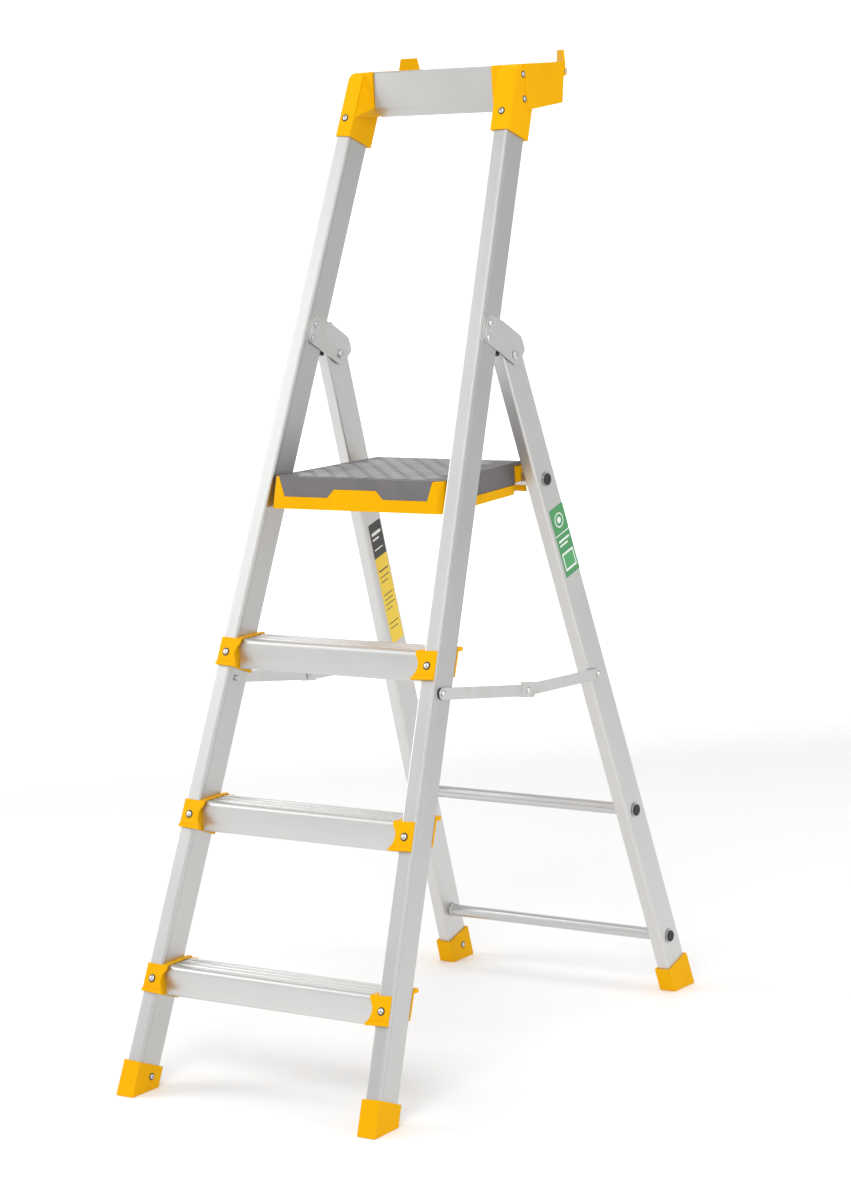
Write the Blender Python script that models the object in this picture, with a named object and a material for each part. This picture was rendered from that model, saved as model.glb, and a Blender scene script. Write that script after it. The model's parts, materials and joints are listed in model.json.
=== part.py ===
"""Folding platform step ladder with a tool tray, as separate solids for each physical piece.

Frame: +Z up, +X to the user's right, +Y from the climbing side to the supporting side.
The origin is on the floor in the middle of the footprint. Lengths are in metres.
Right-hand pieces are modelled, and left-hand ones are mirrored across X = 0.
"""
import math

import bmesh
import bpy
from mathutils import Matrix, Vector

# ---- driving dimensions -------------------------------------------------------------------
GAP = 0.0003                            # play between pieces that touch
FRONT_Y = -0.4438                       # front face of the stiles at floor level
FRONT_LEAN = math.radians(22.48)        # the stiles lean back by this much
REAR_LEAN = math.radians(16.66)         # the rear legs lean forward by this much
FRONT_TAPER = 0.0552                    # the stiles close in by this much per metre of height
REAR_TAPER = 0.0504

STILE_OUTER = 0.2393                    # half width over the stiles at floor level
STILE_WIDTH = 0.0252
STILE_DEPTH = 0.0487
STILE_WALL = 0.0018
STILE_BOTTOM_Z = 0.0250                 # front edge of the square-cut lower end
STILE_TOP_Z = 1.4915

PIVOT_Z = 1.0667                        # hinge line of the rear frame
PIVOT_BEHIND = 0.1014                   # from the stiles' front face to the hinge line, level
LEG_OUTER_AT_PIVOT = 0.1772             # half width over the rear legs at the hinge line
LEG_WIDTH = 0.0220
LEG_DEPTH = 0.0499
LEG_WALL = 0.0016
LEG_ABOVE_PIVOT = 0.0200
LEG_BOTTOM_Z = 0.0070

STEP_TOPS = (0.1855, 0.4205, 0.6555)
STEP_DEPTH = 0.0568
STEP_HEIGHT = 0.0460
STEP_SKIN = 0.0022
STEP_NOSE = 0.0075
STEP_SETBACK = 0.0008                   # step front behind the stiles' front at the step's top

PLATFORM_TOP = 0.8957
PLATFORM_BOTTOM = 0.8468
PLATFORM_FRONT = 0.3588                 # distances behind the stiles' foot line
PLATFORM_REAR = 0.6185
PLATFORM_HALF_FRONT = 0.1625
PLATFORM_HALF_REAR = 0.1385
PLATFORM_RIM = 0.8610                   # upper edge of the tray's side band
PLATFORM_PIVOT_Z = 0.8720
PAD_THICKNESS = 0.0055

TUBE_RADIUS = 0.0100
TUBE_HEIGHTS = {"upper": 0.8686, "middle": 0.3145, "lower": 0.0920}

SPREADER_FRONT = (0.2695, 0.5950)       # behind the foot line, height
SPREADER_KNEE = (0.4890, 0.5600)
SPREADER_REAR = (0.6920, 0.5493)
SPREADER_HEIGHT = 0.0180
SPREADER_SKIN = 0.0025
SPREADER_LAYER_FRONT = 0.2082           # inner face of the front bars, from the middle
SPREADER_LAYER_REAR = 0.2053

BAR_TOP = 1.5008                        # top crossbar
BAR_FRONT = 0.6212
BAR_FOLD_Z = 1.4450
BAR_BOTTOM_Z = 1.4305
BAR_HALF = 0.1127
TRAY_REAR = 0.7730
TRAY_FLOOR_Z = 1.4375
TRAY_HALF = 0.1545

WALL = 0.0030                           # moulded plastic walls
PLATE = 0.0030                          # hinge plates
RIVET_RADIUS = 0.0030
PIVOT_RADIUS = 0.0040

TAN_FRONT = math.tan(FRONT_LEAN)
TAN_REAR = math.tan(REAR_LEAN)
PIVOT_Y = FRONT_Y + TAN_FRONT * PIVOT_Z + PIVOT_BEHIND


# ---- materials ----------------------------------------------------------------------------
def make_material(name, colour, roughness, metallic):
    """Return a Principled material."""
    material = bpy.data.materials.new(name)
    material.use_nodes = True
    shader = material.node_tree.nodes["Principled BSDF"]
    shader.inputs["Base Color"].default_value = (*colour, 1.0)
    shader.inputs["Roughness"].default_value = roughness
    shader.inputs["Metallic"].default_value = metallic
    material.diffuse_color = (*colour, 1.0)
    return material


# ---- placing ------------------------------------------------------------------------------
class Rail:
    """Axes along a right-hand rail: u outwards, v backwards, s up along the rail."""

    def __init__(self, foot, lean_tangent, taper):
        self.foot = Vector(foot)
        self.s = Vector((-taper, lean_tangent, 1.0)).normalized()
        lean = math.atan(lean_tangent)
        self.v = Vector((0.0, math.cos(lean), -math.sin(lean)))
        self.u = self.v.cross(self.s).normalized()

    def at(self, u, v, s):
        """Point at the given distances along the rail's axes."""
        return self.foot + self.u * u + self.v * v + self.s * s

    def on_level(self, u, v, z):
        """Point of the line along the rail through (u, v) at height z."""
        start = self.at(u, v, 0.0)
        return start + self.s * ((z - start.z) / self.s.z)

    def coordinates(self, point):
        """The (u, v, s) of a point."""
        offset = Vector(point) - self.foot
        return offset.dot(self.u), offset.dot(self.v), offset.dot(self.s)

    def s_at_level(self, z):
        """Distance along the rail to height z, on the rail's own line."""
        return (z - self.foot.z) / self.s.z


STILE = Rail((STILE_OUTER - STILE_WIDTH, FRONT_Y, 0.0), TAN_FRONT, FRONT_TAPER)
LEG_FOOT_X = LEG_OUTER_AT_PIVOT - LEG_WIDTH + REAR_TAPER * PIVOT_Z
LEG_FOOT_Y = PIVOT_Y + TAN_REAR * PIVOT_Z - LEG_DEPTH / 2.0 / math.cos(REAR_LEAN)
LEG = Rail((LEG_FOOT_X, LEG_FOOT_Y, 0.0), -TAN_REAR, REAR_TAPER)


def side_point(x, yz):
    """Point at x for a (behind the foot line, height) pair."""
    return Vector((x, FRONT_Y + yz[0], yz[1]))


# ---- solids -------------------------------------------------------------------------------
def finish_mesh(name, bm):
    """Turn a bmesh of one closed solid into a mesh with outward faces."""
    bmesh.ops.recalc_face_normals(bm, faces=bm.faces)
    mesh = bpy.data.meshes.new(name)
    bm.to_mesh(mesh)
    bm.free()
    return mesh


def add_loft(bm, sections):
    """Add a closed solid through sections with equal numbers of points."""
    rings = [[bm.verts.new(point) for point in section] for section in sections]
    count = len(rings[0])
    for lower, upper in zip(rings, rings[1:]):
        for i in range(count):
            j = (i + 1) % count
            bm.faces.new((lower[i], lower[j], upper[j], upper[i]))
    bm.faces.new(rings[0])
    bm.faces.new(rings[-1])


def loft(name, sections):
    """Mesh of a closed solid through sections, with twisted faces split into flat ones."""
    bm = bmesh.new()
    add_loft(bm, sections)
    sides = [face for face in bm.faces if len(face.verts) == 4]
    bmesh.ops.connect_verts_nonplanar(bm, angle_limit=0.0005, faces=sides)
    return finish_mesh(name, bm)


def tube_loft(name, outer_sections, inner_sections):
    """Mesh of an open-ended hollow section between outer and inner outlines."""
    bm = bmesh.new()
    outer = [[bm.verts.new(point) for point in section] for section in outer_sections]
    inner = [[bm.verts.new(point) for point in section] for section in inner_sections]
    for rings in (outer, inner):
        count = len(rings[0])
        for lower, upper in zip(rings, rings[1:]):
            for i in range(count):
                j = (i + 1) % count
                bm.faces.new((lower[i], lower[j], upper[j], upper[i]))
    count = len(outer[0])
    for end in (0, -1):
        for i in range(count):
            j = (i + 1) % count
            bm.faces.new((outer[end][i], outer[end][j], inner[end][j], inner[end][i]))
    return finish_mesh(name, bm)


def prism(name, place, outline, low, high):
    """Mesh of an outline of (p, q) pairs, carried from low to high by place(p, q, r)."""
    return loft(name, [[place(p, q, r) for p, q in outline] for r in (low, high)])


def turned(name, base, axis, profile, segments=16):
    """Mesh of a turned solid: profile holds (radius, distance along the axis) pairs."""
    axis = Vector(axis).normalized()
    across = axis.orthogonal().normalized()
    other = axis.cross(across)
    bm = bmesh.new()
    rings = []
    for radius, height in profile:
        ring = []
        for k in range(segments):
            angle = math.tau * k / segments
            spoke = across * math.cos(angle) + other * math.sin(angle)
            ring.append(bm.verts.new(base + axis * height + spoke * radius))
        rings.append(ring)
    for lower, upper in zip(rings, rings[1:]):
        for i in range(segments):
            j = (i + 1) % segments
            bm.faces.new((lower[i], lower[j], upper[j], upper[i]))
    bm.faces.new(rings[0])
    bm.faces.new(rings[-1])
    return finish_mesh(name, bm)


def box_mesh(name, low, high):
    """Mesh of an upright box between two corners."""
    outline = [(low[0], low[1]), (high[0], low[1]), (high[0], high[1]), (low[0], high[1])]
    return prism(name, lambda p, q, r: Vector((p, q, r)), outline, low[2], high[2])


def rounded_rectangle(x0, y0, x1, y1, radius, steps=3):
    """Outline of a rectangle with round corners."""
    points = []
    corners = ((x1, y1, 0.0), (x0, y1, 90.0), (x0, y0, 180.0), (x1, y0, 270.0))
    for cx, cy, start in corners:
        mx = cx - radius if cx == x1 else cx + radius
        my = cy - radius if cy == y1 else cy + radius
        for k in range(steps + 1):
            angle = math.radians(start + 90.0 * k / steps)
            points.append((mx + radius * math.cos(angle), my + radius * math.sin(angle)))
    return points


def round_corners(outline, radius, steps=2):
    """Outline with each corner replaced by a short curve that starts radius away from it."""
    points = []
    count = len(outline)
    for i, corner in enumerate(outline):
        here = Vector(corner)
        before = (Vector(outline[i - 1]) - here).normalized() * radius + here
        after = (Vector(outline[(i + 1) % count]) - here).normalized() * radius + here
        for k in range(steps + 1):
            t = k / steps
            curve = before * (1 - t) ** 2 + here * (2 * t * (1 - t)) + after * t ** 2
            points.append((curve.x, curve.y))
    return points


def strip(centre_line, thickness):
    """Outline of a strip of even thickness on the left of an open line of points."""
    outer = [Vector(point) for point in centre_line]
    inner = []
    for i, here in enumerate(outer):
        before = outer[max(i - 1, 0)]
        after = outer[min(i + 1, len(outer) - 1)]
        along = (after - before).normalized()
        inner.append(here + Vector((-along.y, along.x)) * thickness)
    return [tuple(point) for point in outer + inner[::-1]]


# ---- joining and cutting ------------------------------------------------------------------
def combine(mesh, tools, operation):
    """Cut or join a mesh with other meshes, and return the result."""
    target = bpy.data.objects.new("work", mesh)
    bpy.context.scene.collection.objects.link(target)
    helpers = []
    for tool_mesh in tools:
        helper = bpy.data.objects.new("tool", tool_mesh)
        bpy.context.scene.collection.objects.link(helper)
        helper.hide_render = True
        helper.display_type = "WIRE"
        modifier = target.modifiers.new("combine", "BOOLEAN")
        modifier.operation = operation
        modifier.solver = "EXACT"
        modifier.object = helper
        helpers.append(helper)
    graph = bpy.context.evaluated_depsgraph_get()
    graph.update()
    result = bpy.data.meshes.new_from_object(target.evaluated_get(graph))
    for used in [target] + helpers:
        bpy.data.objects.remove(used)
    return result


def join(mesh, *others):
    """Union of meshes that overlap."""
    return combine(mesh, others, "UNION")


def cut(mesh, *others):
    """A mesh less the others."""
    return combine(mesh, others, "DIFFERENCE")


def drill(base, axis, radius, length, segments=14):
    """Cutter for a round hole from base along axis."""
    return turned("drill", base, axis, [(radius, 0.0), (radius, length)], segments)


def mirrored(mesh):
    """Mirror image of a mesh across X = 0."""
    copy = mesh.copy()
    copy.transform(Matrix.Scale(-1.0, 4, (1.0, 0.0, 0.0)))
    copy.flip_normals()
    return copy


# ---- objects ------------------------------------------------------------------------------
def add_axis(name, location):
    """Empty on a joint's axis, which carries what turns about it."""
    empty = bpy.data.objects.new(name, None)
    empty.empty_display_size = 0.05
    empty.location = location
    bpy.context.scene.collection.objects.link(empty)
    bpy.context.view_layer.update()
    return empty


def add_part(name, mesh, material, axis=None, smooth=True):
    """Put a mesh into the scene as the named sub-part."""
    mesh.materials.clear()
    mesh.materials.append(material)
    if smooth:
        mesh.shade_smooth()
        mesh.set_sharp_from_angle(angle=math.radians(30.0))
    part = bpy.data.objects.new(name, mesh)
    bpy.context.scene.collection.objects.link(part)
    if axis is not None:
        part.parent = axis
        part.matrix_parent_inverse = axis.matrix_world.inverted()
    return part


def add_pair(stem, mesh, material, axis=None, smooth=True, offset=None):
    """Put a right-hand mesh and its mirror image into the scene, moved by offset."""
    for prefix, copy in (("right", mesh.copy()), ("left", mirrored(mesh))):
        shift = Vector(offset) if offset is not None else Vector()
        if prefix == "left":
            shift.x = -shift.x
        copy.transform(Matrix.Translation(shift))
        add_part(f"{prefix}_{stem}", copy, material, axis, smooth)


# ---- front frame --------------------------------------------------------------------------
def stile_profile():
    """Outer (u, v) outline of the stiles, with a shallow groove in the outer face."""
    outline = rounded_rectangle(0.0, 0.0, STILE_WIDTH, STILE_DEPTH, 0.0025)
    groove = 0.00025
    centre = 0.0070
    ridge = [(STILE_WIDTH, centre - groove), (STILE_WIDTH - groove, centre - groove / 2),
             (STILE_WIDTH - groove, centre + groove / 2), (STILE_WIDTH, centre + groove)]
    return outline + ridge


def hollow_rail(name, rail, outline, width, depth, wall, low, high):
    """Hollow extrusion along a rail: an inner outline with as many points as the outer."""
    middle = Vector((width / 2, depth / 2))
    inner = []
    for p, q in outline:
        away = Vector((p, q)) - middle
        limit_u = (width / 2 - wall) / max(abs(away.x), 1e-6)
        limit_v = (depth / 2 - wall) / max(abs(away.y), 1e-6)
        inner.append(tuple(middle + away * min(limit_u, limit_v, 0.95)))
    outer_rings = [[rail.at(p, q, s) for p, q in outline] for s in (low, high)]
    inner_rings = [[rail.at(p, q, s) for p, q in inner] for s in (low, high)]
    return tube_loft(name, outer_rings, inner_rings)


PIVOT_S = STILE.coordinates((STILE.foot.x, PIVOT_Y, PIVOT_Z))[2]
PIVOT_V = STILE.coordinates((STILE.foot.x, PIVOT_Y, PIVOT_Z))[1]
FOLD_ANGLE = FRONT_LEAN + REAR_LEAN
BOLT_U = 0.0105                          # step bolts from the stile's inner face
BOLT_DOWN = 0.0215                       # and below the step's top, along the stile
HINGE_RIVETS = ((-0.0735, 0.0290), (-0.0742, 0.0062))    # (v, s) from the hinge line
SPREADER_RIVET_X = STILE_OUTER - FRONT_TAPER * SPREADER_FRONT[1]
FOOT_SCREW = (0.0305, 0.0352)            # (v, s) on the stile's inner face
PLATFORM_PIVOT = (TAN_FRONT * PLATFORM_PIVOT_Z + STILE_DEPTH / 2 / math.cos(FRONT_LEAN),
                  PLATFORM_PIVOT_Z)


def stile_inner_x(y, z):
    """X of the right stile's inner face at (y, z)."""
    away = STILE.u.y * (y - STILE.foot.y) + STILE.u.z * (z - STILE.foot.z)
    return STILE.foot.x - away / STILE.u.x


def step_bolt_s(top):
    """Distance along the stile to the bolt of the step with this top height."""
    return STILE.s_at_level(top) - BOLT_DOWN


def make_stiles(material):
    """The two long side rails of the front frame."""
    low = STILE.s_at_level(STILE_BOTTOM_Z)
    high = STILE.s_at_level(STILE_TOP_Z)
    body = hollow_rail("stile", STILE, stile_profile(), STILE_WIDTH, STILE_DEPTH,
                       STILE_WALL, low, high)
    holes = []
    for top in STEP_TOPS:
        holes.append(drill(STILE.at(BOLT_U, -0.002, step_bolt_s(top)), STILE.v, 0.0028, 0.006))
    for v, s in HINGE_RIVETS:
        holes.append(drill(STILE.at(-0.005, PIVOT_V + v, PIVOT_S + s), STILE.u,
                           RIVET_RADIUS + GAP, 0.040))
    holes.append(drill(side_point(SPREADER_RIVET_X - 0.040, SPREADER_FRONT), (1, 0, 0),
                       RIVET_RADIUS + GAP, 0.060))
    holes.append(drill(STILE.at(-0.002, *FOOT_SCREW), STILE.u, 0.0025, 0.006))
    holes.append(drill(side_point(platform_pivot_wall() - 0.004, PLATFORM_PIVOT), (1, 0, 0),
                       PIVOT_RADIUS + GAP, 0.010))
    add_pair("stile", cut(body, *holes), material)


def platform_pivot_wall():
    """Half width between the stiles' inner faces at the platform's pivots."""
    return stile_inner_x(FRONT_Y + PLATFORM_PIVOT[0], PLATFORM_PIVOT_Z)


def step_profile():
    """(behind the step's front, below its top) outline of a tread, open underneath."""
    skin = STEP_SKIN
    rear = STEP_DEPTH
    outline = [(0.008, -STEP_HEIGHT), (0.002, -STEP_HEIGHT), (0.0, -STEP_HEIGHT + 0.002)]
    for k in range(5):
        angle = math.radians(22.5 * k)
        outline.append((STEP_NOSE * (1 - math.cos(angle)), STEP_NOSE * (math.sin(angle) - 1)))
    for centre in (0.0165, 0.0300, 0.0435):
        outline += [(centre - 0.0028, 0.0), (centre - 0.0018, -0.0012)]
        outline += [(centre + 0.0018, -0.0012), (centre + 0.0028, 0.0)]
    outline += [(rear - 0.0030, 0.0), (rear, -0.0030), (rear, -0.0300), (rear - 0.010, -0.0300)]
    outline += [(rear - 0.010, -0.0300 + skin), (rear - skin, -0.0300 + skin)]
    outline += [(rear - skin, -0.0016 - skin), (STEP_NOSE, -0.0016 - skin)]
    outline += [(skin + 0.0020, -0.0050 - skin), (skin, -0.0095 - skin)]
    outline += [(skin, -STEP_HEIGHT + skin), (0.008, -STEP_HEIGHT + skin)]
    return outline


def make_steps(material):
    """The three extruded treads, each cut square between the sockets."""
    for number, top in enumerate(STEP_TOPS, start=1):
        front = FRONT_Y + TAN_FRONT * top + STEP_SETBACK
        half = stile_inner_x(front + STEP_DEPTH, top) - WALL - 3 * GAP
        tread = prism("step", lambda p, q, r: Vector((r, front + p, top + q)), step_profile(),
                      -half, half)
        add_part(f"step_{number}", tread, material)


def socket_face_outline():
    """(u, s) outline of a socket's front plate, s from its bolt, with a notch to the step."""
    return [(STILE_WIDTH - 0.0006, -0.0212), (STILE_WIDTH - 0.0006, 0.0228), (-0.0130, 0.0228),
            (-0.0120, 0.0160), (-0.0082, 0.0102), (-0.0060, 0.0040), (-0.0064, -0.0030),
            (-0.0090, -0.0098), (-0.0150, -0.0185), (-0.0146, -0.0212)]


def socket_mesh(top):
    """Moulded socket that clips round a stile from the inside and holds a step's end."""
    middle = step_bolt_s(top)

    def along(p, q, r):
        return STILE.at(p, r, middle + q)

    face = prism("socket", along, socket_face_outline(), -WALL - GAP, -GAP)
    lip_outline = [(STILE_WIDTH - 0.0009, -0.0209), (STILE_WIDTH - 0.0009, -0.0160),
                   (-0.0125, -0.0162), (-0.0153, -0.0198), (-0.0149, -0.0209)]
    lip = prism("lip", along, lip_outline, -WALL - 0.0030, -0.0012)
    inner_wall = prism("inner", lambda p, q, r: STILE.at(r, p, middle + q),
                       [(-WALL + 0.0006, -0.0203), (STILE_DEPTH + 0.0022, -0.0203),
                        (STILE_DEPTH + 0.0022, 0.0395), (-WALL + 0.0006, 0.0204)],
                       -WALL - GAP, -GAP)
    rear_wall = prism("rear", lambda p, q, r: STILE.at(r, p, middle + q),
                      [(STILE_DEPTH + GAP, -0.0055), (STILE_DEPTH + 0.0022, -0.0055),
                       (STILE_DEPTH + WALL + GAP, 0.0240), (STILE_DEPTH + WALL + GAP, 0.0402),
                       (STILE_DEPTH + GAP, 0.0402)],
                      -WALL + 0.0004, STILE_WIDTH + 0.0002)
    level = FRONT_Y + TAN_FRONT * top
    inner_x = stile_inner_x(level + 0.0600, top)
    shelf = box_mesh("shelf", (inner_x - 0.0025, level + 0.0532, top - 0.0082),
                     (inner_x + STILE_WIDTH - 0.0010, level + 0.0668, top - 0.0022))
    tongue = box_mesh("tongue", (inner_x - 0.0150, level + STEP_DEPTH + 0.0013, top - 0.0080),
                      (inner_x + 0.0040, level + 0.0665, top - 0.0024))
    strip_outline = [(stile_inner_x(level + 0.0005, top) - GAP, level - 0.0020),
                     (inner_x - GAP, level + 0.0600), (inner_x - 0.0085, level + 0.0600),
                     (stile_inner_x(level + 0.0005, top) - 0.0105, level + 0.0070),
                     (stile_inner_x(level + 0.0005, top) - 0.0125, level - 0.0010)]
    cover = prism("cover", lambda p, q, r: Vector((p, q, r)), strip_outline,
                  top + GAP, top + 0.0019)
    riser = prism("riser", lambda p, q, r: Vector((p, q, r)),
                  [(stile_inner_x(level + 0.0005, top) - 0.0006, level + 0.0030),
                   (inner_x - 0.0006, level + 0.0560), (inner_x - 0.0028, level + 0.0560),
                   (stile_inner_x(level + 0.0005, top) - 0.0028, level + 0.0030)],
                  top - 0.0060, top + 0.0014)
    link = box_mesh("link", (inner_x - 0.0080, level + STEP_DEPTH + 0.0015, top - 0.0040),
                    (inner_x - 0.0010, level + 0.0610, top + 0.0012))
    return join(face, lip, inner_wall, rear_wall, shelf, tongue, cover, riser, link)


def make_sockets(material):
    """Six sockets: each step's pair is the first pair moved up along the stiles."""
    first = STEP_TOPS[0]
    socket = socket_mesh(first)
    hole = drill(STILE.at(BOLT_U, -0.010, step_bolt_s(first)), STILE.v, 0.0028, 0.015)
    socket = cut(socket, hole)
    for number, top in enumerate(STEP_TOPS, start=1):
        offset = STILE.s * ((top - first) / STILE.s.z)
        add_pair(f"step_socket_{number}", socket, material, smooth=False, offset=offset)


def screw_mesh(base, inwards, head_radius, head_height, shank_radius, shank_length):
    """Round-headed screw: base is under the head, and the shank runs inwards."""
    profile = [(head_radius * 0.72, -head_height), (head_radius, -head_height * 0.45),
               (head_radius, 0.0), (shank_radius, 0.0), (shank_radius, shank_length)]
    return turned("screw", base, inwards, profile, 12)


def make_step_bolts(material):
    """Bolts through the sockets into the stiles' front walls."""
    for number, top in enumerate(STEP_TOPS, start=1):
        base = STILE.at(BOLT_U, -WALL - 2 * GAP, step_bolt_s(top))
        bolt = screw_mesh(base, STILE.v, 0.0046, 0.0022, 0.0025, 0.0120)
        add_pair(f"step_bolt_{number}", bolt, material)


def foot_mesh(rail, width, depth, end_s, top_outline):
    """Shoe round a rail's lower end: level sole, and an upper edge from (v, s) corners."""
    corners = [(-WALL - GAP, -WALL - GAP), (width + WALL + GAP, -WALL - GAP),
               (width + WALL + GAP, depth + WALL + GAP), (-WALL - GAP, depth + WALL + GAP)]
    sole = [rail.on_level(u, v, 0.0) for u, v in corners]
    upper = [rail.at(u, v, top_outline[0] if v < 0 else top_outline[1]) for u, v in corners]
    body = loft("foot", [sole, upper])
    pocket = prism("pocket", lambda p, q, r: rail.at(p, q, r),
                   [(-GAP, -GAP), (width + GAP, -GAP), (width + GAP, depth + GAP),
                    (-GAP, depth + GAP)], end_s - GAP, 0.12)
    return cut(body, pocket)


def make_front_feet(material, screw_material):
    """Shoes of the stiles, each held by a screw on the inner side."""
    end_s = STILE.s_at_level(STILE_BOTTOM_Z)
    foot = foot_mesh(STILE, STILE_WIDTH, STILE_DEPTH, end_s, (0.0530, 0.0530))
    foot = cut(foot, drill(STILE.at(-0.008, *FOOT_SCREW), STILE.u, 0.0025, 0.010))
    add_pair("front_foot", foot, material, smooth=False)
    screw = screw_mesh(STILE.at(-WALL - 2 * GAP, *FOOT_SCREW), STILE.u, 0.0048, 0.0022,
                       0.0022, 0.0100)
    add_pair("front_foot_screw", screw, screw_material)


# ---- top ----------------------------------------------------------------------------------
def crossbar_profile():
    """(behind the front face, height) outline of the crossbar's hollow front section."""
    rear = 0.0300
    return [(0.0, BAR_FOLD_Z), (0.0, BAR_TOP - 0.0020), (0.0020, BAR_TOP), (rear - 0.002, BAR_TOP),
            (rear, BAR_TOP - 0.0020), (rear, BAR_BOTTOM_Z), (0.0150, BAR_BOTTOM_Z)]


def make_crossbar(material):
    """Extruded crossbar with the tool tray's floor and rear wall behind it."""
    def across(p, q, r):
        return Vector((r, FRONT_Y + BAR_FRONT + p, q))

    profile = crossbar_profile()
    skin = 0.0022
    inner = [(skin, BAR_FOLD_Z + 0.0008), (skin, BAR_TOP - skin - 0.0008),
             (skin + 0.0008, BAR_TOP - skin), (0.0300 - skin - 0.0008, BAR_TOP - skin),
             (0.0300 - skin, BAR_TOP - skin - 0.0008), (0.0300 - skin, BAR_BOTTOM_Z + skin),
             (0.0158, BAR_BOTTOM_Z + skin)]
    outer_rings = [[across(p, q, r) for p, q in profile] for r in (-BAR_HALF, BAR_HALF)]
    inner_rings = [[across(p, q, r) for p, q in inner] for r in (-BAR_HALF, BAR_HALF)]
    front = tube_loft("crossbar", outer_rings, inner_rings)
    behind = FRONT_Y + BAR_FRONT + 0.0290
    rear = FRONT_Y + TRAY_REAR
    floor = box_mesh("floor", (-BAR_HALF + 0.0006, behind, TRAY_FLOOR_Z),
                     (BAR_HALF - 0.0006, rear, TRAY_FLOOR_Z + 0.0025))
    wing = box_mesh("wing", (-TRAY_HALF, behind + 0.0345, TRAY_FLOOR_Z + 0.0001),
                    (TRAY_HALF, rear - 0.0360, TRAY_FLOOR_Z + 0.0024))
    wall = box_mesh("wall", (-0.1272, rear - 0.0027, TRAY_FLOOR_Z + 0.0002),
                    (0.1272, rear - 0.0002, BAR_TOP - 0.0070))
    add_part("crossbar_tray", join(front, floor, wing, wall), material)


def sleeve_ring(inset, place):
    """Outline of a bracket's sleeve round the stile, with a well rounded outer front edge."""
    low = -WALL - GAP
    outer = STILE_WIDTH + WALL + GAP - inset
    front = low + inset
    radius = 0.0080
    points = [(low, front)]
    for k in range(4):
        angle = math.radians(30.0 * k)
        points.append((outer - radius * (1 - math.sin(angle)),
                       front + radius * (1 - math.cos(angle))))
    points += [(outer, STILE_DEPTH + 0.0062), (low, STILE_DEPTH + 0.0062)]
    return [place(u, v) for u, v in points]


def bracket_mesh():
    """Moulded corner that caps a stile, holds the crossbar's end and closes the tray's side."""
    low = STILE.s_at_level(1.4040)
    top = BAR_TOP + 0.0007
    sections = [sleeve_ring(0.0, lambda u, v: STILE.at(u, v, low))]
    for inset, z in ((0.0, top - 0.0090), (0.0016, top - 0.0030), (0.0050, top)):
        sections.append(sleeve_ring(inset, lambda u, v, z=z: STILE.on_level(u, v, z)))
    sleeve = loft("bracket", sections)

    bar_front = FRONT_Y + BAR_FRONT - 0.0026
    levels = []
    for z, x in ((BAR_BOTTOM_Z + 0.0004, 0.1290), (1.4460, BAR_HALF + GAP),
                 (top - 0.0003, BAR_HALF + GAP)):
        levels.append([STILE.on_level(-0.0010, -WALL - GAP + 0.0004, z),
                       Vector((x, bar_front, z)), Vector((x, bar_front + 0.0350, z)),
                       STILE.on_level(-0.0010, 0.0450, z)])
    web = loft("web", levels)

    line = [(0.1622, 0.6400), (0.1622, 0.7500), (0.1600, 0.7555), (0.1370, 0.7745),
            (0.1310, 0.7765)]

    def side_place(p, q, r):
        share = (q - 0.6400) / 0.1200
        z = top - 0.0002 if r else 1.4312 + 0.0080 * share
        y = q if r else q - 0.0165 * share
        return Vector((p - FRONT_TAPER * (z - 1.4600), FRONT_Y + y, z))

    side = prism("side", side_place, strip(line, 0.0035), 0, 1)
    boss = turned("boss", Vector((0.1460, FRONT_Y + 0.7500, 1.4860)), (1, 0, 0),
                  [(0.0068, 0.0), (0.0068, 0.0150), (0.0060, 0.0158)], 16)
    middle = Vector((0.1485 - FRONT_TAPER * 0.0400, FRONT_Y + 0.7650, 0.0))
    along = Vector((-0.7710, 0.6368, 0.0))
    outwards = Vector((0.6368, 0.7710, 0.0))
    tab_sections = []
    for z, half in ((top - 0.0160, 0.0150), (top - 0.0010, 0.0172), (1.5195, 0.0132)):
        level = Vector((0.0, 0.0, z))
        tab_sections.append([middle + level + along * a + outwards * b
                             for a, b in ((-half, 0.0006), (half, 0.0006), (half, -0.0032),
                                          (-half, -0.0032))])
    tab = loft("tab", tab_sections)
    pocket = prism("pocket", lambda p, q, r: STILE.at(p, q, r),
                   [(-GAP, -GAP), (STILE_WIDTH + GAP, -GAP),
                    (STILE_WIDTH + GAP, STILE_DEPTH + GAP), (-GAP, STILE_DEPTH + GAP)],
                   low - 0.02, STILE.s_at_level(STILE_TOP_Z) + GAP)
    return cut(join(sleeve, web, side, boss, tab), pocket)


# ---- hinge --------------------------------------------------------------------------------
def plate_outline():
    """(v, s) outline of a hinge plate, from the hinge line."""
    corners = [(-0.0816, 0.0416), (-0.0420, 0.0420), (0.0112, 0.0340), (0.0262, 0.0165),
               (0.0100, -0.0130), (-0.0816, -0.0012)]
    return round_corners(corners, 0.0050)


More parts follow.
